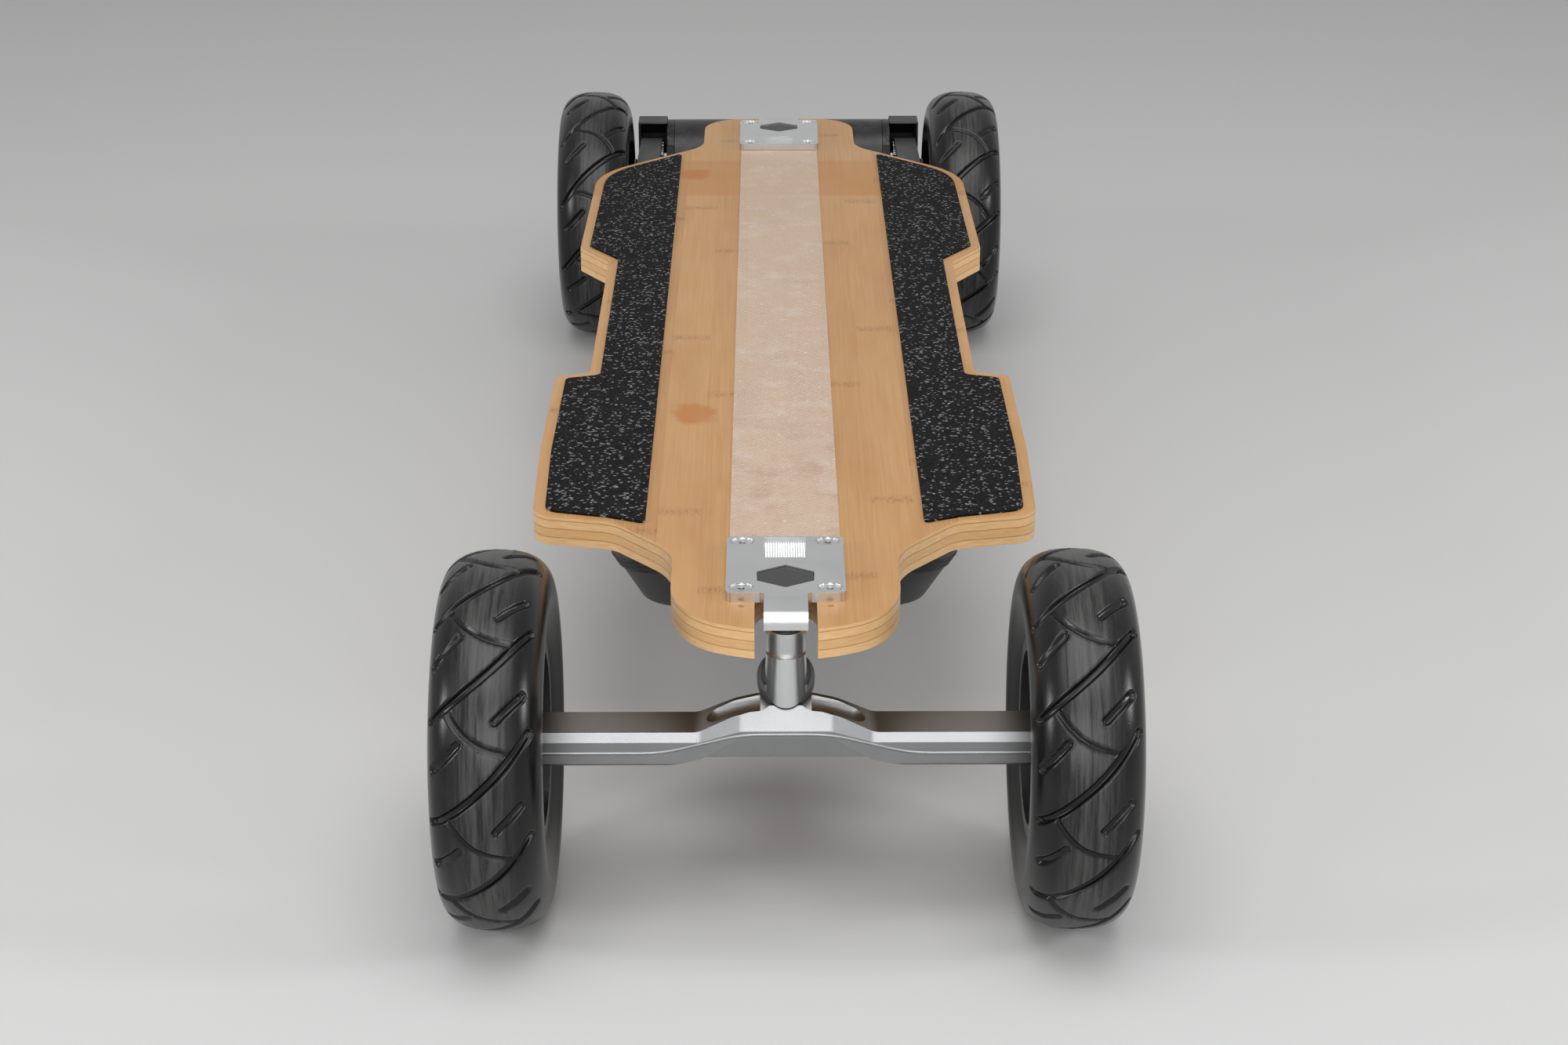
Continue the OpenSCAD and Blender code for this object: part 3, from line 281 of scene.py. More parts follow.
class Effects:
    """The shader groups that several finishes share. Each is built once."""

    def __init__(self) -> None:
        """Starts with none built."""
        self.built: dict[str, Tree] = {}

    def use(self, graph: Graph, name: str, **inputs: object) -> dict[str, Wire]:
        """Places a group in a material.

        Args:
            graph: the material's graph.
            name: the name of one of this class's groups.
            **inputs: a value or a wire for each input.

        Returns:
            The group's outputs by name.
        """
        if name not in self.built:
            self.built[name] = getattr(self, "_" + name)()
        made = graph.node("Group", node_tree=self.built[name])
        for key, value in inputs.items():
            graph.feed(made.inputs[key], value)
        return {socket.name: Wire(graph, socket) for socket in made.outputs}

    def _open(self, name: str, inputs: dict[str, float], **outputs: str) -> tuple[Graph, dict, dict]:
        """Starts a new group.

        Args:
            name: the group's name.
            inputs: its inputs, each with its usual value.
            **outputs: the kind of each output.

        Returns:
            The group's graph, its inputs as wires and its outputs as sockets.
        """
        tree = bpy.data.node_groups.new(name, "ShaderNodeTree")
        for label, value in inputs.items():
            socket = tree.interface.new_socket(label, in_out="INPUT", socket_type="NodeSocketFloat")
            socket.default_value = value
        for label, kind in outputs.items():
            tree.interface.new_socket(label, in_out="OUTPUT", socket_type="NodeSocket" + kind)
        graph = Graph(tree)
        way_in = tree.nodes.new("NodeGroupInput")
        way_out = tree.nodes.new("NodeGroupOutput")
        return graph, {s.name: Wire(graph, s) for s in way_in.outputs}, {s.name: s for s in way_out.inputs}

    def _mottle(self) -> Tree:
        """A value that wanders slowly from Low to High.

        Returns:
            The group's node tree.
        """
        g, ins, out = self._open("mottle", {"Scale": 40, "Low": 0.9, "High": 1.1}, Value="Float")
        g.feed(out["Value"], g.span(g.noise(g.place(), ins["Scale"], 4, 0.55), 0.3, 0.7, ins["Low"], ins["High"]))
        return g.tree

    def _grain(self) -> Tree:
        """The height of a fine moulded or blasted grain.

        Returns:
            The group's node tree.
        """
        g, ins, out = self._open("grain", {"Scale": 900}, Height="Float")
        place = g.place()
        pits = g.out(g.node("TexVoronoi", {"Vector": place, "Scale": ins["Scale"]}, feature="SMOOTH_F1"))
        g.feed(out["Height"], pits + g.noise(place, ins["Scale"] * 1.7, 2) * 0.6)
        return g.tree

    def _flecks(self) -> Tree:
        """Small random spots over a share of the surface.

        Returns:
            The group's node tree.
        """
        g, ins, out = self._open("flecks", {"Scale": 300, "Share": 0.05, "Size": 0.3}, Mask="Float")
        cells = g.node("TexVoronoi", {"Vector": g.place(), "Scale": ins["Scale"]})
        chosen = g.math("LESS_THAN", g.axes(g.out(cells, "Color"))[0], ins["Share"])
        g.feed(out["Mask"], chosen * g.math("LESS_THAN", g.out(cells, "Distance"), ins["Size"]))
        return g.tree

    def _dust(self) -> Tree:
        """A broken film of dust, thickest on faces that look up.

        Returns:
            The group's node tree.
        """
        g, ins, out = self._open("dust", {"Amount": 0.3, "Scale": 60}, Mask="Float")
        cloud = g.span(g.noise(g.place(), ins["Scale"], 6, 0.65), 0.42, 0.75)
        g.feed(out["Mask"], g.span(g.upward(), -0.3, 1.0, 0.35, 1.0) * cloud * ins["Amount"])
        return g.tree

    def _rub(self) -> Tree:
        """Wear on the outer edges.

        Returns:
            The group's node tree.
        """
        g, ins, out = self._open("rub", {"Amount": 0.5, "Scale": 120}, Mask="Float")
        edge = g.span(g.out(g.node("NewGeometry"), "Pointiness"), 0.52, 0.6)
        g.feed(out["Mask"], edge * g.span(g.noise(g.place(), ins["Scale"], 5, 0.6), 0.45, 0.65) * ins["Amount"])
        return g.tree

    def _strokes(self) -> Tree:
        """The height of fine straight machining lines across the board.

        Returns:
            The group's node tree.
        """
        g, ins, out = self._open("strokes", {"Scale": 2500}, Height="Float")
        g.feed(out["Height"], g.noise(g.scaled(g.place(), (0.02, 1.0, 1.0)), ins["Scale"], 2, 0.6))
        return g.tree

    def _bamboo(self) -> Tree:
        """Colour and height of glued bamboo strips that run along the board.

        Returns:
            The group's node tree.
        """
        g, _, out = self._open("bamboo", {}, Colour="Color", Height="Float")
        strip_w, node_gap, node_half = 0.0213, 0.131, 0.0060
        place = g.place()
        x, y, _ = g.axes(place)
        strip = g.math("FLOOR", (x + 1.0) / strip_w)
        tone, offset = g.random(strip), g.random(strip + 37.3)
        fibre = g.noise(g.scaled(place, (1.0, 0.012, 0.05)), 900, 4, 0.6)
        cloud = g.noise(g.scaled(place, (1.0, 0.2, 1.0)), 34, 3, 0.55)
        wobble = (g.noise(place, 260, 3) - 0.5) * 0.006
        node_line = g.span(g.math("PINGPONG", y + offset * 0.26 + wobble, node_gap), 0.0006, node_half, 1.0, 0.0)
        ticks = g.span(g.noise(g.scaled(place, (1.0, 0.12, 1.0)), 1400, 2), 0.45, 0.62, 0.15, 1.0)
        base = g.mix(tone, (0.590, 0.318, 0.122), (0.470, 0.226, 0.072))
        for share, colour in (
            (g.span(fibre, 0.35, 0.7, 0.0, 0.6), (0.64, 0.375, 0.160)),
            (g.span(cloud, 0.48, 0.78, 0.0, 0.5), (0.41, 0.175, 0.045)),
            (g.near(y, AMBER_Y, AMBER_HALF, 0.006) * 0.55, (0.50, 0.205, 0.030)),
            (node_line * ticks * 0.62, (0.26, 0.10, 0.025)),
        ):
            base = g.mix(share, base, colour)
        g.feed(out["Colour"], base)
        g.feed(out["Height"], fibre - node_line)
        return g.tree

    def _weave(self) -> Tree:
        """The height of a fine slanted weave.

        Returns:
            The group's node tree.
        """
        g, ins, out = self._open("weave", {"Scale": 4200}, Height="Float")
        x, y, _ = g.axes(g.scaled(g.place(), (1, 1, 1), (0, 0, math.radians(32))))
        along = g.math("SINE", y * (ins["Scale"] * 0.55))
        g.feed(out["Height"], g.math("SINE", x * ins["Scale"]) + along * 0.7)
        return g.tree


class Surface(Graph):
    """The graph of one material, with its shader and the shared groups at hand."""

    def __init__(self, material: bpy.types.Material, effects: Effects) -> None:
        """Starts on a material.

        Args:
            material: a material whose nodes are in use.
            effects: the shared shader groups.
        """
        super().__init__(material.node_tree)
        self.shader = material.node_tree.nodes["Principled BSDF"]
        self.effects = effects

    def use(self, name: str, **inputs: object) -> dict[str, Wire]:
        """Places one of the shared groups."""
        return self.effects.use(self, name, **inputs)

    def give(self, **values: object) -> None:
        """Feeds the shader's inputs. A line in a name stands for a space."""
        for name, value in values.items():
            self.feed(self.shader.inputs[name.replace("_", " ")], value)

    def relief(self, *heights: tuple[Wire, float]) -> None:
        """Feeds the shader's normal with bumps, each a height and its depth in metres.

        Args:
            *heights: each bump's height and its depth, the lowest bump first.
        """
        under: dict[str, Wire] = {}
        for height, depth in heights:
            bump = self.node("Bump", {"Height": height, "Distance": depth, "Strength": 1.0, **under})
            under = {"Normal": self.out(bump)}
        self.give(**under)


@dataclass(frozen=True)
class Finish:
    """A plain finish: its colour, its gloss, and the detail that breaks them up.

    Lengths are in metres, and scales in cells a metre.
    """

    slot: str
    colour: Colour
    roughness: float
    metallic: float = 0.0
    mottle: float = 0.08
    mottle_scale: float = 45.0
    grain_scale: float = 1100.0
    grain_depth: float = 0.00003
    stroke_depth: float = 0.0
    rub: float = 0.0
    rub_colour: Colour = (0.35, 0.35, 0.36)
    dust: float = 0.0
    dust_colour: Colour = (0.30, 0.285, 0.26)
    coat: float = 0.0
    specular: float = 0.5

    def build(self, effects: Effects) -> bpy.types.Material:
        """Makes the material.

        Args:
            effects: the shared shader groups.

        Returns:
            The material, named for its slot.
        """
        made = bpy.data.materials.new(self.slot)
        made.use_nodes = True
        made.diffuse_color = (*self.colour, 1.0)
        on = Surface(made, effects)
        on.give(Metallic=self.metallic, Specular_IOR_Level=self.specular, Coat_Weight=self.coat,
                Coat_Roughness=COAT_ROUGHNESS)
        self.paint(on)
        return made

    def dusted(self, on: Surface, colour: object, **settings: float) -> tuple[Wire, Wire]:
        """A colour under this finish's dust, and where the dust lies."""
        film = on.use("dust", Amount=self.dust, **settings)["Mask"]
        return on.mix(film, colour, self.dust_colour), film

    def paint(self, on: Surface) -> None:
        """Feeds the shader a colour that wanders, with its rubbed edges, its dust and its grain.

        Args:
            on: the material's surface.
        """
        wander = on.use("mottle", Scale=self.mottle_scale, Low=1 - self.mottle, High=1 + self.mottle)["Value"]
        colour, rough = on.shaded(self.colour, wander), wander * self.roughness
        if self.rub:
            colour = on.mix(on.use("rub", Amount=self.rub)["Mask"], colour, self.rub_colour)
        if self.dust:
            colour, film = self.dusted(on, colour)
            rough = on.math("ADD", rough, film * 0.35, clamp=True)
        on.give(Base_Color=colour, Roughness=rough)
        reliefs = [(on.use("grain", Scale=self.grain_scale)["Height"], self.grain_depth)]
        if self.stroke_depth:
            reliefs.append((on.use("strokes")["Height"], self.stroke_depth))
        on.relief(*reliefs)


@dataclass(frozen=True)
class BambooFinish(Finish):
    """Lacquered bamboo: strips on the faces, plies on the edge, and two stains."""

    stain_marks: tuple[tuple[float, float, float, float, float], ...] = ()
    stain: Colour = (0.50, 0.165, 0.018)
    ply: Colour = (0.83, 0.56, 0.30)
    ply_streak: Colour = (0.74, 0.43, 0.175)
    dark_ply: Colour = (0.52, 0.235, 0.06)
    dark_level: tuple[float, float] = (0.0085, 0.0016)
    glue: Colour = (0.30, 0.10, 0.025)
    glue_levels: tuple[float, ...] = (0.0018, 0.0062, 0.0108)

    def paint(self, on: Surface) -> None:
        """Feeds the shader the strips on flat faces and the plies on upright ones.

        Args:
            on: the material's surface.
        """
        place = on.place()
        x, y, z = on.axes(place)
        wood = on.use("bamboo")
        face = wood["Colour"]
        for mark_x, mark_y, half_x, half_y, share in self.stain_marks:
            ragged = (on.noise(place, 120, 4, 0.6) - 0.5) * 0.9
            across, along = (on.math("POWER", part, 2.0) for part in ((x - mark_x) / half_x, (y - mark_y) / half_y))
            mask = on.span(on.math("SQRT", across + along) + ragged, 0.75, 1.15, share, 0.0)
            face = on.mix(mask, face, self.stain)
        level = (DECK_TOP - z) + (on.noise(on.scaled(place, (1, 1, 0.2)), 26, 2) - 0.5) * 0.0007
        streak = on.noise(on.scaled(place, (0.1, 0.1, 1.0)), 1500, 3, 0.6)
        edge = on.mix(on.span(streak, 0.3, 0.7), self.ply, self.ply_streak)
        edge = on.mix(on.near(level, *self.dark_level, 0.0008) * 0.25, edge, self.dark_ply)
        for line in self.glue_levels:
            edge = on.mix(on.near(level, line, 0.0001, 0.0003) * 0.65, edge, self.glue)
        flat = on.span(on.math("ABSOLUTE", on.upward()), 0.80, 0.93)
        colour, _ = self.dusted(on, on.mix(flat, edge, face))
        on.give(Base_Color=colour, Roughness=on.use("mottle", Scale=30, Low=0.85, High=1.15)["Value"] * self.roughness)
        on.relief((wood["Height"], self.grain_depth))


@dataclass(frozen=True)
class ClearGripFinish(Finish):
    """A clear woven film on the bamboo: milky, with the wood showing through and pale scuffs."""

    haze: Colour = (0.88, 0.81, 0.76)
    worn: Colour = (0.36, 0.15, 0.09)
    fleck: Colour = (0.86, 0.82, 0.79)
    flecks: tuple[Point, ...] = ((420.0, 0.045, 0.30), (150.0, 0.03, 0.16))

    def paint(self, on: Surface) -> None:
        """Feeds the shader the wood behind the film, the weave and the scuffs.

        Args:
            on: the material's surface.
        """
        weave = on.use("weave")["Height"]
        place = on.place()
        colour = on.mix(on.span(weave, -1.7, 1.7, 0.48, 0.60), on.use("bamboo")["Colour"], self.colour)
        cloud = on.span(on.noise(place, 55, 5, 0.65), 0.5, 0.8, 0.0, 0.4)
        colour = on.mix(cloud, colour, self.haze)
        patch = on.span(on.noise(place, 46, 6, 0.7), 0.50, 0.70, 0.0, 0.35)
        wear = on.near(on.axes(place)[1], WORN_Y, WORN_HALF, 0.09) * patch
        colour = on.mix(wear, colour, self.worn)
        for scale, share, size in self.flecks:
            spots = on.use("flecks", Scale=scale, Share=share, Size=size)["Mask"]
            colour = on.mix(spots * 0.6, colour, self.fleck)
        on.give(Base_Color=colour, Roughness=on.span(weave, -1.7, 1.7, self.roughness + 0.1, self.roughness - 0.1))
        on.relief((weave, self.grain_depth))


@dataclass(frozen=True)
class GritFinish(Finish):
    """Black grip sheet: coarse grains with painted glints and painted sparkles, and grey scuffs."""

    painted_glint: Colour = (0.30, 0.30, 0.31)
    painted_sparkle: Colour = (0.62, 0.62, 0.63)
    scuff: Colour = (0.16, 0.16, 0.165)

    def paint(self, on: Surface) -> None:
        """Feeds the shader the grains, their painted glints and painted sparkles, and the grey scuffs.

        Args:
            on: the material's surface.
        """
        place = on.place()
        cells = on.node("TexVoronoi", {"Vector": place, "Scale": self.grain_scale})
        lot, other, _ = on.axes(on.out(cells, "Color"))
        # Painted highlight: one grain in ten is painted lighter as a glint, and is also made glossier.
        painted_glint = on.math("GREATER_THAN", lot, 0.90)
        # Painted highlight: small pale spots are painted on the grit as sparkles.
        spots = on.use("flecks", Scale=330.0, Share=0.035, Size=0.22)["Mask"]
        scuff = on.span(on.noise(place, 38, 6, 0.7), 0.56, 0.8, 0.0, 0.10)
        colour = on.shaded(self.colour, on.span(other, 0.0, 1.0, 0.35, 1.8))
        for share, tone in ((painted_glint * 0.6, self.painted_glint), (spots * 0.8, self.painted_sparkle), (scuff, self.scuff)):
            colour = on.mix(share, colour, tone)
        on.give(Base_Color=colour, Roughness=on.span(painted_glint, 0.0, 1.0, self.roughness, 0.25))
        on.relief((lot * 0.6 - on.out(cells, "Distance"), self.grain_depth))


@dataclass(frozen=True)
class TyreFinish(Finish):
    """Moulded tyre rubber with a greyer running band: partly wear, and partly painted light on the middle of the tread.
    """

    worn_and_lit_colour: Colour = (0.062, 0.061, 0.060)

    def paint(self, on: Surface) -> None:
        """Feeds the shader rubber that is duller along the running band, and painted greyer there for wear and for
        light.

        Args:
            on: the material's surface.
        """
        run = on.out(on.node("Attribute", attribute_name="running_band"), "Fac")
        streak = on.noise(on.scaled(on.place(), (420, 26, 26)), 1.0, 4, 0.65)
        # Wear and painted light: the running band is painted lighter grey, standing partly for the light on the tread's
        # middle.
        worn = run * on.span(streak, 0.36, 0.62, 0.12, 1.0)
        colour = on.mix(worn, self.colour, self.worn_and_lit_colour)
        colour, film = self.dusted(on, colour, Scale=90.0)
        rough = on.math("ADD", self.roughness, worn * 0.16 + film * 0.3, clamp=True)
        on.give(Base_Color=colour, Roughness=rough)
        on.relief((on.use("grain", Scale=self.grain_scale)["Height"], self.grain_depth))


FINISHES: tuple[Finish, ...] = (
    BambooFinish("bamboo", (0.57, 0.33, 0.165), 0.42, grain_depth=0.00008, dust=0.05,
                 dust_colour=(0.62, 0.56, 0.48), coat=0.08, specular=0.3,
                 stain_marks=((-0.0585, 0.2975, 0.011, 0.013, 1.0), (-0.0480, -0.1700, 0.012, 0.016, 0.75))),
    GritFinish("grip", (0.007, 0.007, 0.0073), 0.62, grain_scale=760.0, grain_depth=0.0010, specular=0.07),
    ClearGripFinish("clear_strip", (0.80, 0.69, 0.60), 0.45, grain_depth=0.00016),
    Finish("cast_aluminium", (0.29, 0.293, 0.298), 0.31, metallic=1.0, mottle=0.05, grain_scale=2700.0,
           grain_depth=0.00004),
    Finish("satin_aluminium", (0.64, 0.645, 0.65), 0.31, metallic=1.0, mottle=0.04, grain_scale=2600.0,
           grain_depth=0.000014, stroke_depth=0.000012),
    Finish("black_aluminium", (0.022, 0.022, 0.024), 0.40, metallic=0.55, rub=0.5, dust=0.10,
           grain_scale=1900.0, grain_depth=0.00003),
    Finish("badge", (0.038, 0.038, 0.041), 0.48, grain_scale=3200.0, grain_depth=0.00003),
    Finish("bolt_steel", (0.62, 0.62, 0.63), 0.24, metallic=1.0, mottle=0.1),
    Finish("black_steel", (0.045, 0.045, 0.048), 0.38, metallic=0.6, rub=0.4),
    Finish("kingpin_steel", (0.48, 0.48, 0.50), 0.30, metallic=1.0, mottle=0.1),
    Finish("urethane", (0.03, 0.03, 0.033), 0.5),
    Finish("grey_urethane", (0.10, 0.10, 0.105), 0.48, dust=0.12),
    TyreFinish("tyre_rubber", (0.004, 0.004, 0.0042), 0.22, grain_scale=2300.0, grain_depth=0.00003,
               dust=0.02, specular=0.34),
    Finish("tube_rubber", (0.03, 0.03, 0.032), 0.5),
    Finish("rim", (0.024, 0.024, 0.026), 0.34, metallic=0.2, rub=0.3, dust=0.12, grain_scale=1500.0),
    Finish("bearing_steel", (0.66, 0.66, 0.68), 0.22, metallic=1.0),
    Finish("pulley", (0.04, 0.04, 0.043), 0.36, metallic=0.6, rub=0.6, dust=0.10),
    Finish("motor_can", (0.020, 0.020, 0.022), 0.36, metallic=0.3, rub=0.35, dust=0.08),
    Finish("rotor_steel", (0.36, 0.36, 0.38), 0.32, metallic=1.0, mottle=0.1),
    Finish("belt", (0.085, 0.086, 0.09), 0.62, grain_scale=1600.0, grain_depth=0.00008, dust=0.2),
    Finish("cover_plastic", (0.020, 0.020, 0.022), 0.46, grain_scale=1500.0, grain_depth=0.00005, dust=0.10),
    Finish("box_plastic", (0.021, 0.021, 0.023), 0.50, grain_scale=1300.0, grain_depth=0.00008, dust=0.12),
    Finish("cell_wrap", (0.06, 0.17, 0.42), 0.28, coat=0.4),
    Finish("controller", (0.30, 0.31, 0.32), 0.36, metallic=0.9),
    Finish("bezel", (0.55, 0.56, 0.57), 0.28, metallic=1.0),
    Finish("button", (0.035, 0.035, 0.038), 0.36),
    Finish("socket", (0.60, 0.60, 0.62), 0.24, metallic=1.0),
)


class Bench:
    """The modelling moves that the sub-assemblies share, with the finishes at hand."""

    def __init__(self, frame: dict) -> None:
        """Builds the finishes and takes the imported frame.
        """
        self.frame = frame
        effects = Effects()
        self.finish = {one.slot: one.build(effects) for one in FINISHES}
        self.made: list[str] = []

    @staticmethod
    def clear() -> None:
        """Leaves nothing selected."""
        if bpy.context.object and bpy.context.object.mode != "OBJECT":
            bpy.ops.object.mode_set(mode="OBJECT")
        bpy.ops.object.select_all(action="DESELECT")

    @classmethod
    def take(cls, piece: Piece) -> None:
        """Selects this piece alone and makes it the active one.

        Args:
            piece: the piece.
        """
        cls.clear()
        piece.select_set(True)
        bpy.context.view_layer.objects.active = piece

    @staticmethod
    def show(name: str, data: bpy.types.ID) -> Piece:
        """A new object in the scene.

        Args:
            name: the object's name.
            data: its mesh, curve, camera or lamp.

        Returns:
            The object.
        """
        made = bpy.data.objects.new(name, data)
        bpy.context.scene.collection.objects.link(made)
        return made

    @classmethod
    def primitive(cls, kind: str, name: str, stretch: Point = (1, 1, 1), **sizes: object) -> Piece:
        """Adds one of Blender's primitives, placed in its mesh.

        Args:
            kind: the primitive's name, such as cube or cylinder.
            name: the piece's name.
            stretch: its scale along each axis.
            **sizes: what the operator takes.

        Returns:
            The new piece, with its object at the origin.
        """
        cls.clear()
        getattr(bpy.ops.mesh, f"primitive_{kind}_add")(**sizes)
        piece = bpy.context.object
        piece.name = piece.data.name = name
        piece.scale = stretch
        cls.take(piece)
        bpy.ops.object.transform_apply(location=True, rotation=True, scale=True)
        return piece

    @classmethod
    @contextmanager
    def editing(cls, piece: Piece, mode: str = "FACE", whole: bool = False) -> Iterator[None]:
        """Edit mode on a piece.

        Args:
            piece: the piece.
            mode: what is picked: VERT, EDGE or FACE.
            whole: whether all of it is selected at the start.

        Returns:
            A context in which the piece is in edit mode.
        """
        cls.take(piece)
        bpy.ops.object.mode_set(mode="EDIT")
        bpy.ops.mesh.select_mode(type=mode)
        bpy.ops.mesh.select_all(action="SELECT" if whole else "DESELECT")
        yield
        bpy.ops.object.mode_set(mode="OBJECT")

    @staticmethod
    def pick_faces(piece: Piece, test: Test) -> None:
        """Selects the faces whose middle and normal pass a test, in edit mode.

        Args:
            piece: the piece in edit mode.
            test: takes a face's middle and its normal.
        """
        form = bmesh.from_edit_mesh(piece.data)
        for face in form.faces:
            face.select_set(test(face.calc_center_median(), face.normal))
        form.select_flush_mode()
        bmesh.update_edit_mesh(piece.data)

    @staticmethod
    def pick_edges(piece: Piece, test: Test, least_turn: float | None = None) -> None:
        """Selects the edges that pass a test, in edit mode.

        Args:
            piece: the piece in edit mode.
            test: takes an edge's middle and its direction.
            least_turn: only edges that turn by more than this many degrees count, if it is given.
        """
        form = bmesh.from_edit_mesh(piece.data)
        for edge in form.edges:
            one, two = (v.co for v in edge.verts)
            sharp = least_turn is None or (
                len(edge.link_faces) == 2 and edge.calc_face_angle() > math.radians(least_turn))
            edge.select_set(sharp and test((one + two) / 2, (two - one).normalized()))
        form.select_flush_mode()
        bmesh.update_edit_mesh(piece.data)

    @classmethod
    def modify(cls, piece: Piece, kind: str, **settings: object) -> None:
        """Adds a modifier and applies it.

        Args:
            piece: the piece.
            kind: the modifier's type.
            **settings: its properties.
        """
        cls.take(piece)
        modifier = piece.modifiers.new(kind.lower(), kind)
        for name, value in settings.items():
            setattr(modifier, name, value)
        bpy.ops.object.modifier_apply(modifier=modifier.name)

    @classmethod
    def smooth(cls, piece: Piece, angle: float, fair: bool = False) -> None:
        """Shades smooth up to an angle.

        Args:
            piece: the piece.
            angle: edges that turn by more degrees stay sharp.
            fair: whether wide faces are kept flat beside their rounded edges.
        """
        cls.take(piece)
        bpy.ops.object.shade_smooth_by_angle(angle=math.radians(angle))
        if fair:
            cls.modify(piece, "WEIGHTED_NORMAL", keep_sharp=True, weight=80)

    @classmethod
    def copy_of(cls, piece: Piece, name: str) -> Piece:
        """A copy with its own mesh.

        Args:
            piece: the piece.
            name: the copy's name.

        Returns:
            The copy.
        """
        made = cls.show(name, piece.data.copy())
        made.data.name = name
        return made

    @staticmethod
    def turned(piece: Piece, matrix: Matrix) -> Piece:
        """Moves a piece's mesh by a matrix, and turns it the right way out if that mirrors it.

        Args:
            piece: the piece.
            matrix: how it moves.

        Returns:
            The same piece.
        """
        piece.data.transform(matrix)
        if matrix.determinant() < 0:
            piece.data.flip_normals()
        return piece

    @classmethod
    def joined(cls, name: str, parts: list[Piece]) -> Piece:
        """Several pieces as one mesh.

        Args:
            name: the new piece's name.
            parts: the pieces, which are used up.

        Returns:
            The new piece.
        """
        cls.clear()
        for part in parts:
            part.select_set(True)
        bpy.context.view_layer.objects.active = parts[0]
        bpy.ops.object.join()
        parts[0].name = parts[0].data.name = name
        return parts[0]

    @classmethod
    def repeated(cls, form: Piece, name: str, places: list[Matrix]) -> Piece:
        """Copies of a form at several places, as one mesh.

        Args:
            form: the piece to repeat, which is used up.
            name: the new piece's name.
            places: how each copy is placed.

        Returns:
            The new piece.
        """
        parts = [cls.turned(cls.copy_of(form, name), place) for place in places]
        bpy.data.objects.remove(form)
        return cls.joined(name, parts)

    @classmethod
    def cap_screw(cls, name: str, radius: float, height: float, key: float) -> Piece:
        """The head of a socket screw, standing on its own XY plane.

        Args:
            name: the screw's name.
            radius: the radius of the head.
            height: the height of the head.
            key: the radius of the six-sided socket.

        Returns:
            The head.
        """
        head = cls.primitive("cylinder", name, vertices=28, radius=radius, depth=height, location=(0, 0, height / 2))
        cls.modify(head, "BEVEL", width=0.16 * height, segments=2, limit_method="ANGLE", angle_limit=math.radians(40))
        socket = cls.primitive("cylinder", "key", vertices=6, radius=key, depth=height, location=(0, 0, height))
        cls.modify(head, "BOOLEAN", object=socket, operation="DIFFERENCE", solver="EXACT")
        bpy.data.objects.remove(socket)
        cls.smooth(head, 32)
        return head

    @classmethod
    def bead(cls, name: str, path: list[Vector], radius: float, closed: bool = False) -> Piece:
        """A round bead laid along straight runs.

        Args:
            name: the bead's name.
            path: the points that it runs through.
            radius: half of its thickness.
            closed: whether the last point joins the first.

        Returns:
            The bead as a mesh.
        """
        cls.clear()
        curve = bpy.data.curves.new(name, "CURVE")
        curve.dimensions, curve.bevel_depth, curve.bevel_resolution = "3D", radius, 3
        curve.use_fill_caps = True
        line = curve.splines.new("POLY")
        line.points.add(len(path) - 1)
        line.points.foreach_set("co", [value for point in path for value in (*point, 1.0)])
        line.use_cyclic_u = closed
        cls.take(cls.show(name, curve))
        bpy.ops.object.convert(target="MESH")
        made = bpy.context.object
        made.data.name = name
        cls.smooth(made, 50)
        return made

    @staticmethod
    def eased(points: list[Vector], corner: float) -> list[Vector]:
        """An open path with each corner turned in short steps.

        Args:
            points: the corners of the path.
            corner: how far from a corner the turn starts.

        Returns:
            The points of the eased path.
        """
        path = [points[0]]
        for before, point, after in zip(points, points[1:], points[2:]):
            back, on = before - point, after - point
            start = point + back.normalized() * min(corner, back.length / 2)
            end = point + on.normalized() * min(corner, on.length / 2)
            path += [(1 - t) ** 2 * start + 2 * t * (1 - t) * point + t ** 2 * end for t in (0.0, 0.25, 0.5, 0.75, 1.0)]
        return [*path, points[-1]]

    def from_cad(self, node: str, name: str) -> Piece:
        """A copy of a CAD node with its seams closed and its flat faces whole.

        Args:
            node: the CAD node.
            name: the copy's name.

        Returns:
            The copy. The node itself isn't touched.
        """
        piece = self.copy_of(self.frame["nodes"][node], name)
        piece.data.materials.clear()
        with self.editing(piece, whole=True):
            bpy.ops.mesh.remove_doubles(threshold=SEAM_GAP)
            bpy.ops.mesh.customdata_custom_splitnormals_clear()
            bpy.ops.mesh.dissolve_limited(angle_limit=math.radians(FLAT_TURN))
        return piece

    def softened(self, node: str, width: float, segments: int = 2) -> Piece:
        """A copy of a CAD node with its edges rounded, in place of the node.

        Args:
            node: the CAD node.
            width: the width of the rounding, in millimetres.
            segments: how many faces round an edge.

        Returns:
            The piece, dressed and riding on the node's body.
        """
        piece = self.from_cad(node, f"{node}_finished")
        self.modify(piece, "BEVEL", width=width * MM, segments=segments, limit_method="ANGLE",
                    angle_limit=math.radians(SHARP_TURN), use_clamp_overlap=True, miter_outer="MITER_ARC",
                    harden_normals=False)
        self.smooth(piece, 40, fair=True)
        return self.stand_for(piece, node)

    def soften_all(self, rows: Roundings, start: str = "") -> None:
        """Softens several nodes, each given with its width in millimetres and its faces."""
        for node, width, segments in rows:
            self.softened(start + node, width, segments)

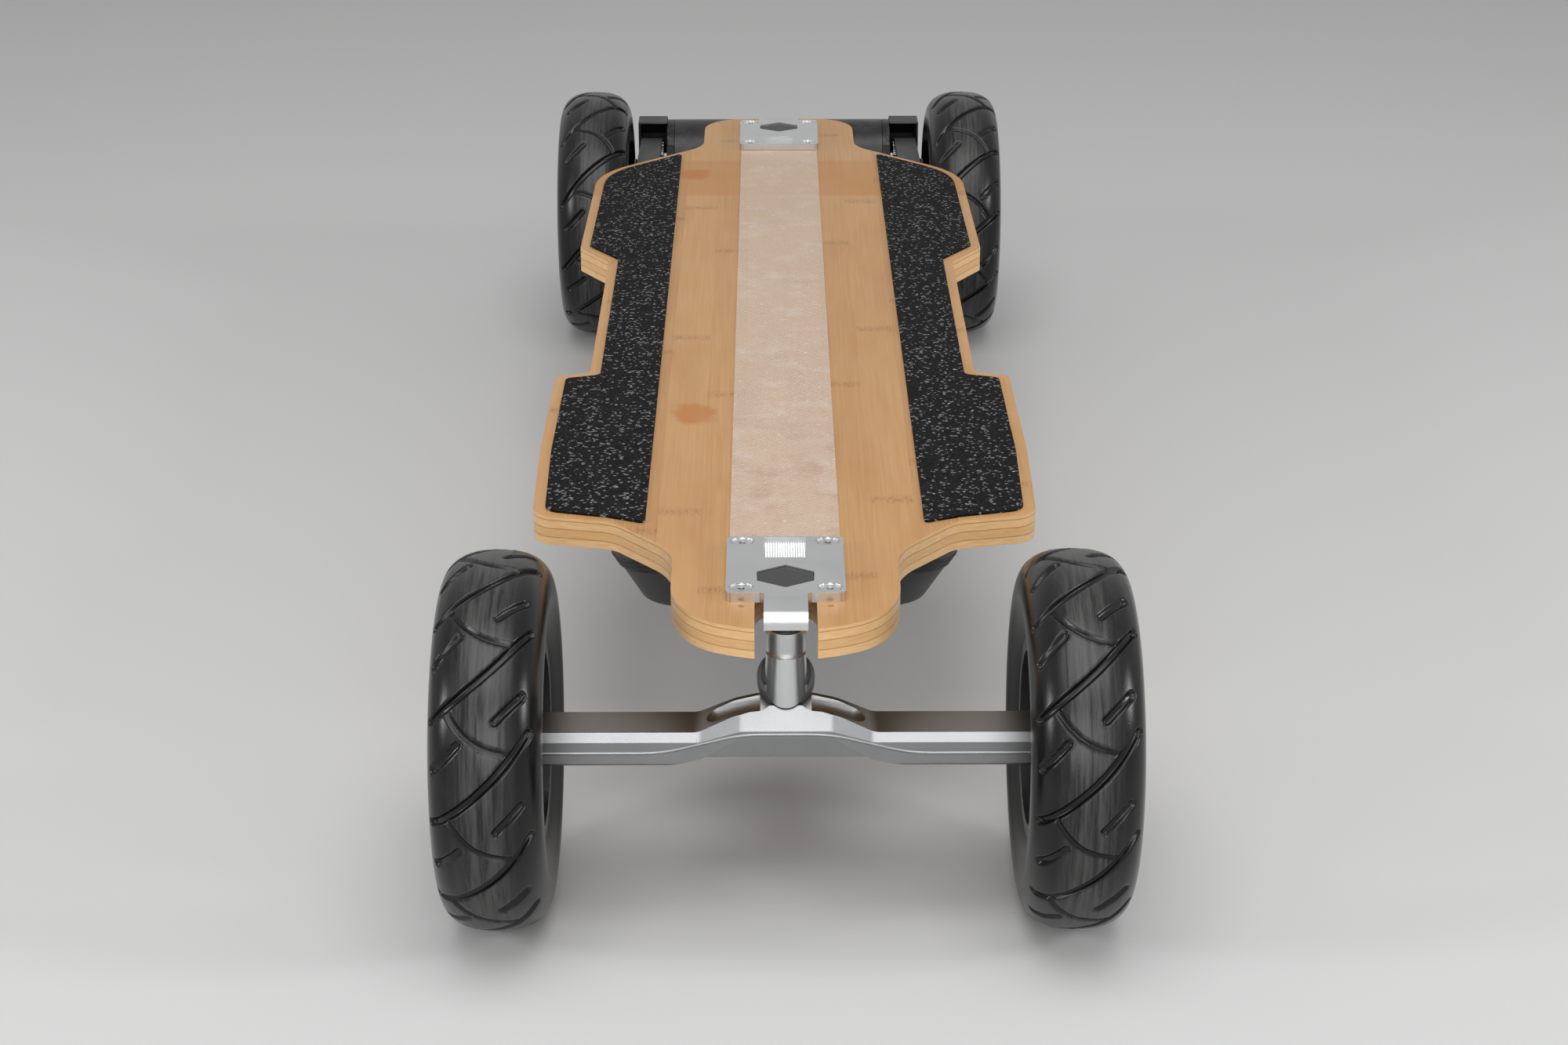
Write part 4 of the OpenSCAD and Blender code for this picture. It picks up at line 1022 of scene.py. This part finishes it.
    def dress(self, piece: Piece, body: str, slot: str) -> Piece:
        """Gives a piece its finish and its body, and reports it.

        Args:
            piece: the piece.
            body: the CAD body that it rides on.
            slot: its material slot.

        Returns:
            The same piece.
        """
        piece.data.materials.clear()
        piece.data.materials.append(self.finish[slot])
        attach(piece, body)
        self.made.append(piece.name)
        LOG.info("%-28s %6d faces  %s on %s", piece.name, len(piece.data.polygons), slot, body)
        return piece

    def slot_of(self, node: str) -> str:
        """The material slot that the record gives a node."""
        rows = self.frame["record"]["subparts"]
        return next(row["material_slot"] for row in rows if row["node"] == node)

    def dress_as(self, piece: Piece, node: str, slot: str | None = None) -> Piece:
        """Dresses a piece as a CAD node is, on its body, or in another slot's finish."""
        return self.dress(piece, self.frame["nodes"][node]["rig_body"], slot or self.slot_of(node))

    def stand_for(self, piece: Piece, node: str) -> Piece:
        """Dresses a piece as a CAD node is, and puts it in the node's place.

        Args:
            piece: the piece.
            node: the CAD node.

        Returns:
            The same piece.
        """
        self.dress_as(piece, node)
        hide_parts(node)
        return piece

    def dress_nodes(self) -> None:
        """Gives every CAD node that still shows its finish."""
        for name, node in self.frame["nodes"].items():
            finish = self.finish[self.slot_of(name)]
            if not node.material_slots:
                node.data.materials.append(finish)
            for place in node.material_slots:
                place.material = finish
            if not node.hide_render:
                LOG.info("%-28s kept, %s", name, finish.name)


@dataclass
class Studio:
    """The camera at the photograph's place, a pale floor and soft light."""

    lens: float = 65.1
    sensor: float = 36.0
    eye: Point = (-0.00764, -1.611, 0.703)
    pitch: float = 66.98
    yaw: float = -0.326
    floor_size: float = 30.0
    floor_tone: float = 0.70
    floor_spread: tuple[Point, Point] = ((0.985, 0.985, 0.98), (1.015, 1.015, 1.01))
    lamps: tuple[tuple[str, Point, float, float], ...] = (
        ("overhead", (0.0, -0.95, 2.2), 1.6, 23.0),
        ("front", (0.0, -2.9, 1.3), 1.3, 22.0),
        ("side_left", (-2.1, -1.1, 1.0), 0.5, 13.0),
        ("side_right", (2.1, -0.9, 1.1), 0.5, 13.0),
    )
    world_strength: float = 0.30
    backdrop: float = 0.60
    aim: Point = (0.0, 0.0, 0.10)

    def build(self) -> None:
        """Makes the camera, the floor, the lamps and the world."""
        self.camera()
        self.floor()
        for lamp in self.lamps:
            self.lamp(*lamp)
        self.world()
        bpy.context.scene.view_settings.view_transform = "Standard"

    def camera(self) -> None:
        """Sets the camera where the photograph was taken from."""
        data = bpy.data.cameras.new("camera")
        data.lens, data.sensor_width = self.lens, self.sensor
        eye = Bench.show("camera", data)
        eye.location = self.eye
        eye.rotation_euler = (math.radians(self.pitch), 0.0, math.radians(self.yaw))
        bpy.context.scene.camera = eye

    def floor(self) -> None:
        """Lays a plain pale floor with the faint unevenness of a painted surface."""
        ground = Bench.primitive("plane", "floor", size=self.floor_size)
        paint = bpy.data.materials.new("floor_paint")
        paint.use_nodes = True
        on = Surface(paint, Effects())
        low, high = ([self.floor_tone * part for part in parts] for parts in self.floor_spread)
        on.give(Base_Color=on.mix(on.noise(on.place(), 3.0, 5, 0.6), low, high), Roughness=0.75,
                Specular_IOR_Level=0.25)
        ground.data.materials.append(paint)

    def lamp(self, name: str, place: Point, size: float, power: float) -> None:
        """Hangs one soft square lamp that looks at the board.

        Args:
            name: the lamp's name.
            place: where it hangs.
            size: the length of its side.
            power: its power in watts.
        """
        data = bpy.data.lights.new(name, "AREA")
        data.size, data.energy = size, power
        lamp = Bench.show(name, data)
        lamp.location = place
        lamp.rotation_euler = (Vector(self.aim) - Vector(place)).to_track_quat("-Z", "Y").to_euler()

    def world(self) -> None:
        """Fills the room with pale light, and shows a pale wall behind."""
        world = bpy.data.worlds.new("room")
        world.use_nodes = True
        bpy.context.scene.world = world
        graph = Graph(world.node_tree)
        path = graph.node("LightPath")
        camera, glossy, through = (graph.out(path, f"Is {ray} Ray") for ray in ("Camera", "Glossy", "Transmission"))
        seen = graph.math("MAXIMUM", graph.math("MAXIMUM", camera, glossy), through)
        wall = world.node_tree.nodes["Background"].inputs
        wall["Color"].default_value = (1.0, 1.0, 1.0, 1.0)
        graph.feed(wall["Strength"], graph.span(seen, 0.0, 1.0, self.world_strength, self.backdrop))


@dataclass
class Deck:
    """The bamboo deck with its grip panels and its clear strip."""

    bench: Bench
    arris: float = 2.2 * MM
    level_gap: float = 0.00002
    sheets: Roundings = (("grip_panels", 0.35, 2), ("centre_strip", 0.25, 2))

    def build(self) -> None:
        """Rounds the edges of the deck's top and bottom, and eases the sheets."""
        bench = self.bench
        board = bench.from_cad("deck", "bamboo_deck")

        def outline(middle: Vector, way: Vector) -> bool:
            """Whether an edge lies in the top or the bottom face."""
            gap = min(abs(middle.z - DECK_TOP), abs(middle.z - DECK_TOP + DECK_T))
            return gap < self.level_gap and abs(way.z) < 0.01

        with bench.editing(board, "EDGE"):
            bench.pick_edges(board, outline)
            bpy.ops.mesh.bevel(offset=self.arris, segments=4, profile=0.5, clamp_overlap=True)
        bench.smooth(board, 30, fair=True)
        bench.stand_for(board, "deck")
        bench.soften_all(self.sheets)


@dataclass
class TopPlate:
    """The top plate at one end, with its knurled pocket. Badges and bolts are shared by both plates."""

    bench: Bench
    end: End
    rounding: Roundings = (("baseplate", 0.7, 3),)
    shared: Roundings = (("plate_badges", 0.5, 2), ("deck_bolts", 0.25, 2), ("deck_nuts", 0.4, 2))
    pocket_w: float = 20 * MM
    pocket_len: float = 24 * MM
    pocket_depth: float = 3 * MM
    pocket_wall: float = 1 * MM
    knurl_pitch: float = 1.25 * MM
    knurl_h: float = 0.45 * MM
    knurl_t: float = 0.3 * MM
    gap: float = 0.5 * MM

    def build(self) -> None:
        """Makes the plate and the knurled floor of its pocket."""
        self.bench.soften_all(self.rounding, f"{self.end.value}_")
        self.knurl()

    @classmethod
    def fittings(cls, bench: Bench) -> None:
        """Eases the badges, bolts and nuts, which are one node each for both plates."""
        bench.soften_all(cls.shared)

    def knurl(self) -> None:
        """Covers the pocket's floor with small pyramids."""
        middle = self.end.place(0, self.end.plate_start + PLATE_LEN - self.pocket_wall - self.pocket_len / 2,
                                DECK_TOP + PLATE_T - self.pocket_depth + 0.05 * MM)
        pad = self.bench.primitive(
            "grid", f"{self.end.value}_knurled_floor", (self.pocket_w - self.gap, self.pocket_len - self.gap, 1.0),
            x_subdivisions=round(self.pocket_w / self.knurl_pitch),
            y_subdivisions=round(self.pocket_len / self.knurl_pitch), size=1.0, location=middle)
        with self.bench.editing(pad, whole=True):
            bpy.ops.mesh.poke(offset=self.knurl_h)
        self.bench.modify(pad, "SOLIDIFY", thickness=self.knurl_t, offset=-1.0)
        self.bench.dress(pad, "deck", "satin_aluminium")


@dataclass
class Truck:
    """The truck at one end: its link, hanger, kingpins and axle."""

    bench: Bench
    end: End
    cast_edge: float = 0.9 * MM
    face_s: float = -15 * MM
    panel_half: float = 47 * MM
    panel_top: float = 98 * MM
    panel_depth: float = 1.6 * MM
    hole_half: float = 15 * MM
    hole_in: float = 6 * MM
    rib_r: float = 0.9 * MM
    rib_in: float = 0.45 * MM
    rib_corner: float = 9 * MM
    rib_half: tuple[tuple[float, float], ...] = ((20.5, 98.4), (58.0, 88.8))
    rib_reach: tuple[float, float] = (114.5, 77.0)
    seal_r: float = 11.5 * MM
    seal_h: float = 4.4 * MM
    seat: tuple[float, float] = (5.0, 120.0)
    lean: float = 40.0
    link: Roundings = (("link", 0.7, 3),)
    fittings: Roundings = (("kingpin_nut", 0.5, 2), ("lower_kingpin", 0.8, 2), ("bushings", 1.2, 3),
                           ("axle", 0.8, 2), ("axle_nuts", 0.5, 2))

    def build(self) -> None:
        """Makes the truck's pieces."""
        start = f"{self.end.value}_"
        self.bench.soften_all(self.link, start)
        self.seal()
        self.hanger()
        self.rib()
        self.bench.soften_all(self.fittings, start)

    def seal(self) -> None:
        """Puts the dark rubber seal round the foot of the link, over its collar."""
        ring = self.bench.primitive("cylinder", f"{self.end.value}_link_seal", vertices=64, radius=self.seal_r,
                                    depth=self.seal_h)
        self.bench.modify(ring, "BEVEL", width=0.7 * MM, segments=3, limit_method="ANGLE")
        self.bench.smooth(ring, 40)
        s, z = self.seat
        leaning = turn(math.radians(self.lean), "X") @ shift(0, 0, self.seal_h / 2)
        self.bench.turned(ring, self.end.half_turn @ shift(0, s * MM - AXLE_Y, z * MM) @ leaning)
        self.bench.dress_as(ring, f"{self.end.value}_link", "urethane")

    def hanger(self) -> None:
        """Rounds the casting's long edges, and leaves the shallow panel crisp."""
        bench, node = self.bench, f"{self.end.value}_hanger"
        cast = bench.from_cad(node, f"{node}_finished")
        face = abs(self.end.place(0, self.face_s, 0).y)

        def outer(middle: Vector, _: Vector) -> bool:
            """Whether an edge lies outside the panel and its bolt holes.

            Args:
                middle: the edge's middle.

            Returns:
                True for an edge to round.
            """
            across, along = abs(middle.x), abs(middle.y)
            in_panel = along > face - self.panel_depth and across < self.panel_half and middle.z < self.panel_top
            return not (in_panel or (across < self.hole_half and along < face - self.hole_in))

        with bench.editing(cast, "EDGE"):
            bench.pick_edges(cast, outer, SHARP_TURN)
            bpy.ops.mesh.bevel(offset=self.cast_edge, segments=3, profile=0.5, clamp_overlap=True)
        bench.smooth(cast, 40, fair=True)
        bench.stand_for(cast, node)

    def rib(self) -> None:
        """Casts the low rib that runs along the beam's outer face and over its panel."""
        reach = self.rib_reach[0 if self.end is End.FRONT else 1]
        half = [*self.rib_half, (reach, self.rib_half[-1][1])]
        left, right = ([self.end.place(hand * x * MM, self.face_s + self.rib_in, z * MM) for x, z in half]
                       for hand in (-1, 1))
        path = self.bench.eased([*reversed(left), *right], self.rib_corner)
        rib = self.bench.bead(f"{self.end.value}_hanger_rib", path, self.rib_r)
        self.bench.dress_as(rib, f"{self.end.value}_hanger")


@dataclass(frozen=True)
class Groove:
    """One groove of the tread: a curve across the tyre, with its width and depth in millimetres."""

    points: tuple[tuple[float, float], ...]
    width: float
    depth: float

    def around(self, x: np.ndarray) -> np.ndarray:
        """How far around the tyre the groove's fair curve lies at places across it.

        Args:
            x: places across the tyre, in millimetres.

        Returns:
            The places around it, in millimetres.
        """
        known = np.array(self.points)
        fit = np.polyfit(known[:, 0], known[:, 1], 3)
        return np.polyval(fit, np.clip(x, known[0, 0], known[-1, 0]))

    def line(self, count: int) -> np.ndarray:
        """Points along the groove, each as its place across and around in millimetres.

        Args:
            count: how many points.

        Returns:
            An array of count rows.
        """
        known = np.array(self.points)
        if len(known) == 2:
            return known[0] + np.linspace(0, 1, count)[:, None] * (known[1] - known[0])
        x = np.linspace(known[0, 0], known[-1, 0], count)
        return np.stack([x, self.around(x)], axis=1)


@dataclass
class Tyre:
    """The air tyre. Lengths are in millimetres until the mesh is made."""

    bench: Bench
    radius: float = 89.0
    half_width: float = 25.5
    middle_r: float = 66.0
    seat_r: float = 44.2
    flange_r: float = 49.0
    half_seat: float = 17.9
    lining: tuple[tuple[float, float], ...] = ((16.0, 55.0), (18.0, 66.0), (14.0, 78.0))
    lining_r: float = 82.5
    roundness: tuple[float, float] = (0.8, 0.7)
    bulge: float = 1.1
    pitches: int = 11
    around_step: float = 0.9
    close_rings: tuple[float, ...] = (0.0, 0.9, 1.6, 2.0, 2.35, 2.7, 3.2)
    across_step: float = 0.66
    wall_step: float = 2.6
    wall_r: float = 76.0
    soft_edge: float = 0.75
    long_groove: Groove = Groove(((-23.0, 0.0), (-16.3, 5.4), (-2.4, 16.7), (10.3, 30.2), (17.5, 39.2),
                                  (21.0, 45.2)), 3.5, 2.3)
    others: tuple[Groove, ...] = (
        Groove(((-16.3, 5.4), (-11.5, -3.0), (-2.4, -10.6), (5.4, -14.7), (13.9, -16.0)), 2.3, 1.5),
        Groove(((-21.8, 27.4), (-10.8, 39.6)), 3.6, 1.9),
        Groove(((6.0, -1.2), (17.5, 10.9)), 3.6, 1.9),
    )
    mould_lines: tuple[float, ...] = (-10.0, -1.5, 7.5)
    mould_h: float = 0.16
    mould_half: float = 0.7

    @property
    def pitch(self) -> float:
        """The length of one repeat of the tread around the crown."""
        return 2 * math.pi * self.radius / self.pitches

    def crown(self) -> np.ndarray:
        """The outer line of the section, from the left flange over the crown to the right one.

        Returns:
            Points, each as x across and r from the axle.
        """
        angle = np.radians(np.linspace(180, 0, 1441))
        x = self.half_width * np.sign(np.cos(angle)) * np.abs(np.cos(angle)) ** self.roundness[0]
        r = self.middle_r + (self.radius - self.middle_r) * np.sin(angle) ** self.roundness[1]
        fine = np.stack([x, r], axis=1)
        wall = np.linspace(0, 1, 9)[:-1]
        out = self.bulge * np.sin(np.pi * wall)
        left = np.stack([-self.half_seat - (self.half_width - self.half_seat) * wall - out * (1 - wall),
                         self.flange_r + (self.middle_r - self.flange_r) * wall], axis=1)
        step = np.where(fine[1:, 1] < self.wall_r, self.wall_step, self.across_step)
        steps = np.concatenate([[0], np.cumsum(np.linalg.norm(np.diff(fine, axis=0), axis=1) / step)])
        stops = np.linspace(0, steps[-1], round(steps[-1]))
        sampled = np.stack([np.interp(stops, steps, fine[:, k]) for k in (0, 1)], axis=1)
        return np.concatenate([left, sampled, left[::-1] * (-1, 1)])

    def section(self) -> tuple[np.ndarray, int]:
        """The closed section.

        Returns:
            The points of the section, and how many of them are outer ones.
        """
        outer = self.crown()
        seat, bead = self.half_seat, self.seat_r
        inner = np.array([(seat, bead + 2.4), (seat - 1.2, bead), (seat - 6.5, bead), (seat - 6, bead + 4),
                          *self.lining])
        return np.concatenate([outer, inner, [(0, self.lining_r)], inner[::-1] * (-1, 1)]), len(outer)

    def ring_places(self) -> np.ndarray:
        """Places of the rings around one pitch, close together beside the long groove.

        Returns:
            The places in millimetres from the middle of the pitch.
        """
        last, half = self.close_rings[-1], self.pitch / 2
        rest = np.linspace(last, half, round((half - last) / self.around_step))[1:]
        half_pitch = np.concatenate([self.close_rings, rest])
        return np.concatenate([-half_pitch[::-1][1:-1], half_pitch])

    def build(self) -> Piece:
        """Spins the section, slants its rings along the grooves and carves them.

        Returns:
            A tyre in its own frame: the axle along X, the middle at the origin.
        """
        section, outside = self.section()
        rings = self.ring_places()
        tyre = self.bench.primitive("circle", "tyre_form", vertices=len(section), fill_type="NOTHING")
        for vertex, (x, r) in zip(tyre.data.vertices, section):
            vertex.co = Vector((x, 0.0, r)) * MM
        with self.bench.editing(tyre, "VERT", whole=True):
            bpy.ops.mesh.spin(steps=len(rings) * self.pitches, angle=2 * math.pi, center=(0, 0, 0), axis=(1, 0, 0))
            bpy.ops.mesh.select_all(action="SELECT")
            bpy.ops.mesh.remove_doubles(threshold=0.00001)
            bpy.ops.mesh.normals_make_consistent(inside=False)
        self.carve(tyre, section, outside, rings)
        self.bench.smooth(tyre, 80)
        return tyre

    def cells(self, tyre: Piece, section: np.ndarray, rings: int) -> tuple[np.ndarray, np.ndarray]:
        """Which ring and which point of the section each vertex came from.

        Args:
            tyre: the spun tyre.
            section: the section that was spun, in millimetres.
            rings: how many rings the tyre has.

        Returns:
            The index of the ring and of the point, for each vertex.
        """
        co = np.empty(len(tyre.data.vertices) * 3)
        tyre.data.vertices.foreach_get("co", co)
        co = co.reshape(-1, 3) / MM
        ring = np.rint(np.arctan2(co[:, 1], co[:, 2]) / (2 * math.pi) * rings).astype(int) % rings
        reach = np.hypot(co[:, 1], co[:, 2])
        column = np.empty(len(co), int)
        for start in range(0, len(co), 20000):
            block = slice(start, start + 20000)
            away = (co[block, 0][:, None] - section[:, 0]) ** 2 + (reach[block][:, None] - section[:, 1]) ** 2
            column[block] = away.argmin(axis=1)
        return ring, column

    def carve(self, tyre: Piece, section: np.ndarray, outside: int, rings: np.ndarray) -> None:
        """Moves each vertex to its slanted ring and down into the grooves.

        Args:
            tyre: the spun tyre.
            section: the section that was spun, in millimetres.
            outside: how many of its points lie on the outside.
            rings: places of the rings within one pitch, in millimetres.
        """
        ring, column = self.cells(tyre, section, len(rings) * self.pitches)
        slant = self.long_groove.around(section[:, 0])
        inner = np.arange(outside, len(section))
        slant[inner] = np.interp(inner, [outside - 1, len(section)], [slant[outside - 1], slant[0]])
        lap, within = np.divmod(ring, len(rings))
        angle = (rings[within] + self.pitch * lap + slant[column]) / self.radius
        sink = self.depths(section, outside, rings)[within, column]
        x, r = (section[column] - self.normals(section)[column] * sink[:, None]).T
        placed = np.stack([x, -r * np.cos(angle), r * np.sin(angle)], axis=1) * MM
        tyre.data.vertices.foreach_set("co", placed.astype(np.float32).ravel())
        # The running band that the tyre's finish paints lighter, for wear and for painted light; groove floors are left
        # out.
        band = np.clip(1.45 - np.abs(section[column, 0]) / 11.0, 0, 1) * np.clip(1 - sink / 0.8, 0, 1)
        mark = tyre.data.attributes.new("running_band", "FLOAT", "POINT")
        mark.data.foreach_set("value", np.where(column < outside, band, 0.0).astype(np.float32))
        tyre.data.update()
        with self.bench.editing(tyre, whole=True):
            bpy.ops.mesh.normals_make_consistent(inside=False)

    @staticmethod
    def normals(section: np.ndarray) -> np.ndarray:
        """The outward direction at each point of the section.

        Args:
            section: the closed section.

        Returns:
            A unit vector for each point.
        """
        way = np.roll(section, -1, axis=0) - np.roll(section, 1, axis=0)
        out = np.stack([-way[:, 1], way[:, 0]], axis=1)
        return out / np.linalg.norm(out, axis=1)[:, None]

    def depths(self, section: np.ndarray, outside: int, rings: np.ndarray) -> np.ndarray:
        """How far each point of one pitch sinks into a groove, less what a mould line stands proud.

        Args:
            section: the section, in millimetres.
            outside: how many of its points lie on the outside.
            rings: places of the rings within one pitch.

        Returns:
            An array with a row for each ring and a column for each point of the section.
        """
        outer = section[:outside]
        across = np.concatenate([[0], np.cumsum(np.linalg.norm(np.diff(outer, axis=0), axis=1))])
        across -= np.interp(0.0, outer[:, 0], across)
        crown = outer[:, 1] > self.middle_r + 1.0
        around = rings[:, None] + self.long_groove.around(outer[:, 0])
        sink = np.zeros((len(rings), len(section)))
        for groove in (self.long_groove, *self.others):
            line = groove.line(160)
            line_across = np.interp(line[:, 0], outer[crown, 0], across[crown])
            nearest = np.full(around.shape, 99.0)
            for lap in (-2, -1, 0, 1, 2):
                for point in zip(line_across, line[:, 1] + lap * self.pitch):
                    nearest = np.minimum(nearest, np.hypot(across - point[0], around - point[1]))
            edge = np.clip((groove.width / 2 + self.soft_edge - nearest) / (2 * self.soft_edge), 0, 1)
            sink[:, :outside] = np.maximum(sink[:, :outside], groove.depth * edge * edge * (3 - 2 * edge))
        for place in self.mould_lines:
            ridge = self.mould_h * np.clip(1 - np.abs(outer[:, 0] - place) / self.mould_half, 0, 1)
            sink[:, :outside] -= np.where(sink[:, :outside] < 0.1, ridge, 0)
        return sink


@dataclass
class Wheels:
    """The four wheels: tyres, rims, and the screws and valve caps on them."""

    bench: Bench
    rim: Roundings = (("rim", 0.8, 2),)
    spokes: int = 5
    screw: tuple[float, float, float] = (3.1 * MM, 2.6 * MM, 1.5 * MM)
    screw_ring: float = 35 * MM
    spoke_in: float = 8 * MM
    spoke_out: float = -4 * MM
    cap_start: float = 24.5 * MM
    cap_len: float = 7 * MM
    cap_r: float = 3.9 * MM

    def build(self) -> None:
        """Makes the tyre once, copies it to the four wheels and finishes the rims."""
        form = Tyre(self.bench).build()
        for end in End:
            for side in Side:
                wheel = f"{end.value}_{side.value}"
                low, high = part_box(f"{wheel}_tyre")
                stand = shift(*(low + high) / 2) @ end.half_turn
                tyre = self.bench.turned(self.bench.copy_of(form, f"{wheel}_treaded_tyre"), stand)
                self.bench.stand_for(tyre, f"{wheel}_tyre")
                self.bench.soften_all(self.rim, f"{wheel}_")
                hand = side.sign if end is End.FRONT else -side.sign
                own = stand @ turn(-hand * math.pi / 2, "Y")
                self.screws(wheel, own, end)
                self.valve_cap(wheel, own)
        bpy.data.objects.remove(form)

    def screws(self, wheel: str, own: Matrix, end: End) -> None:
        """Puts a screw on the outside of each spoke, and inside too where no pulley covers it.

        Args:
            wheel: the wheel's name.
            own: the wheel's own frame, whose Z points inboard.
            end: the wheel's end of the board.
        """
        form = self.bench.cap_screw("wheel_screw", *self.screw)
        places = []
        for i in range(self.spokes):
            spoke = own @ turn(2 * math.pi * i / self.spokes, "Z")
            places.append(spoke @ shift(self.screw_ring, 0, self.spoke_out) @ turn(math.pi, "X"))
            if end is End.FRONT:
                places.append(spoke @ shift(self.screw_ring, 0, self.spoke_in))
        screws = self.bench.repeated(form, f"{wheel}_screws", places)
        self.bench.dress_as(screws, f"{wheel}_rim", "bolt_steel")

    def valve_cap(self, wheel: str, own: Matrix) -> None:
        """Screws a ribbed cap on the valve, halfway between two spokes.

        Args:
            wheel: the wheel's name.
            own: the wheel's own frame, whose Z points inboard.
        """
        cap = self.bench.primitive("cylinder", f"{wheel}_valve_cap", vertices=20, radius=self.cap_r,
                                   depth=self.cap_len, location=(0, 0, -self.cap_len / 2))
        with self.bench.editing(cap):
            self.bench.pick_faces(cap, lambda middle, way: abs(way.z) < 0.1)
            bpy.ops.mesh.inset(thickness=0.22 * MM, depth=-0.25 * MM, use_individual=True)
        self.bench.modify(cap, "BEVEL", width=0.12 * MM, segments=1, limit_method="ANGLE", angle_limit=math.radians(60))
        self.bench.smooth(cap, 30)
        valve = own @ turn(math.pi / self.spokes, "Z") @ turn(math.pi / 2, "Y")
        self.bench.turned(cap, valve @ shift(0, 0, self.cap_start + self.cap_len))
        self.bench.dress_as(cap, f"{wheel}_rim", "urethane")


@dataclass
class Drive:
    """The two belt drives behind the rear axle."""

    bench: Bench
    motor_s: float = -73 * MM
    motor_z: float = 112 * MM
    bell_x: float = 26.5 * MM
    bell_screw: tuple[float, float, float] = (2.6 * MM, 2.2 * MM, 1.3 * MM)
    screw_ring: float = 16 * MM
    turning: Roundings = (("wheel_pulley", 0.25, 1), ("rotor", 0.3, 1))
    still: Roundings = (("motor_mounts", 1.0, 2), ("motors", 1.2, 3))

    def build(self) -> None:
        """Finishes the pulleys, mounts, motors and covers."""
        for side in Side:
            self.bench.soften_all(self.turning, f"{side.value}_")
        self.bench.soften_all(self.still)
        covers = self.bench.softened("belt_covers", 0.8)
        with self.bench.editing(covers, whole=True):
            bpy.ops.mesh.vert_connect_concave()
        self.bell_screws()

    def bell_screws(self) -> None:
        """Puts four screws in the end of each motor."""
        form = self.bench.cap_screw("bell_screw", *self.bell_screw)
        places = []
        for side in Side:
            middle = End.REAR.place(0, self.motor_s, self.motor_z) + Vector((side.sign * self.bell_x, 0, 0))
            inward = shift(*middle) @ turn(-side.sign * math.pi / 2, "Y")
            places += [inward @ turn(math.pi * (i / 2 + 0.25), "Z") @ shift(self.screw_ring, 0, 0) for i in range(4)]
        self.bench.dress_as(self.bench.repeated(form, "motor_bell_screws", places), "motors", "bolt_steel")


@dataclass
class BatteryBox:
    """The box under the deck, with its controls."""

    bench: Bench
    bead_levels: tuple[float, ...] = (132 * MM, 127.5 * MM, 123 * MM)
    bead_r: float = 0.9 * MM
    roundings: Roundings = (
        ("battery_box", 2.0, 3), ("box_screws", 0.35, 2), ("cable_glands", 0.5, 2), ("button_bezel", 0.4, 2),
        ("power_button", 0.5, 2), ("charge_socket", 0.3, 2), ("charge_cap", 0.5, 2), ("motor_controller", 0.6, 2),
        ("box_gasket", 0.2, 1))

    def build(self) -> None:
        """Finishes the box and its fittings."""
        self.bench.soften_all(self.roundings)
        self.beads()

    def beads(self) -> None:
        """Moulds three low beads around the upper wall of the box."""
        bench, parts = self.bench, []
        for z in self.bead_levels:
            cut = bench.copy_of(bench.frame["nodes"]["battery_box"], "box_outline")
            with bench.editing(cut, whole=True):
                bpy.ops.mesh.bisect(plane_co=(0, 0, z), plane_no=(0, 0, 1), clear_inner=True, clear_outer=True)
            outline = self.outer_loop(cut)
            bpy.data.objects.remove(cut)
            parts.append(bench.bead("box_bead", outline, self.bead_r, closed=True))
        bench.dress_as(bench.joined("battery_box_beads", parts), "battery_box")

    @staticmethod
    def outer_loop(cut: Piece) -> list[Vector]:
        """The longest closed loop of a cut through the box, in order.

        Args:
            cut: the box, cut down to a line around it.

        Returns:
            The points of the loop.
        """
        form = bmesh.new()
        form.from_mesh(cut.data)
        bmesh.ops.remove_doubles(form, verts=form.verts, dist=0.00001)
        loops, seen = [], set()
        for first in form.verts:
            if first in seen or not first.link_edges:
                continue
            loop, here = [], first
            while here is not None:
                seen.add(here)
                loop.append(here.co.copy())
                here = next((e.other_vert(here) for e in here.link_edges if e.other_vert(here) not in seen), None)
            loops.append(loop)
        form.free()
        return max(loops, key=lambda loop: sum((a - b).length for a, b in zip(loop, loop[1:])))


def main() -> None:
    """Builds the dressed mountainboard, piece by piece."""
    logging.basicConfig(level=logging.INFO, format="%(message)s")
    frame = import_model()
    bench = Bench(frame)
    Studio().build()
    Deck(bench).build()
    for end in End:
        TopPlate(bench, end).build()
        Truck(bench, end).build()
    TopPlate.fittings(bench)
    Wheels(bench).build()
    Drive(bench).build()
    BatteryBox(bench).build()
    bench.dress_nodes()
    LOG.info("%d new pieces", len(bench.made))


if __name__ == "__main__":
    main()
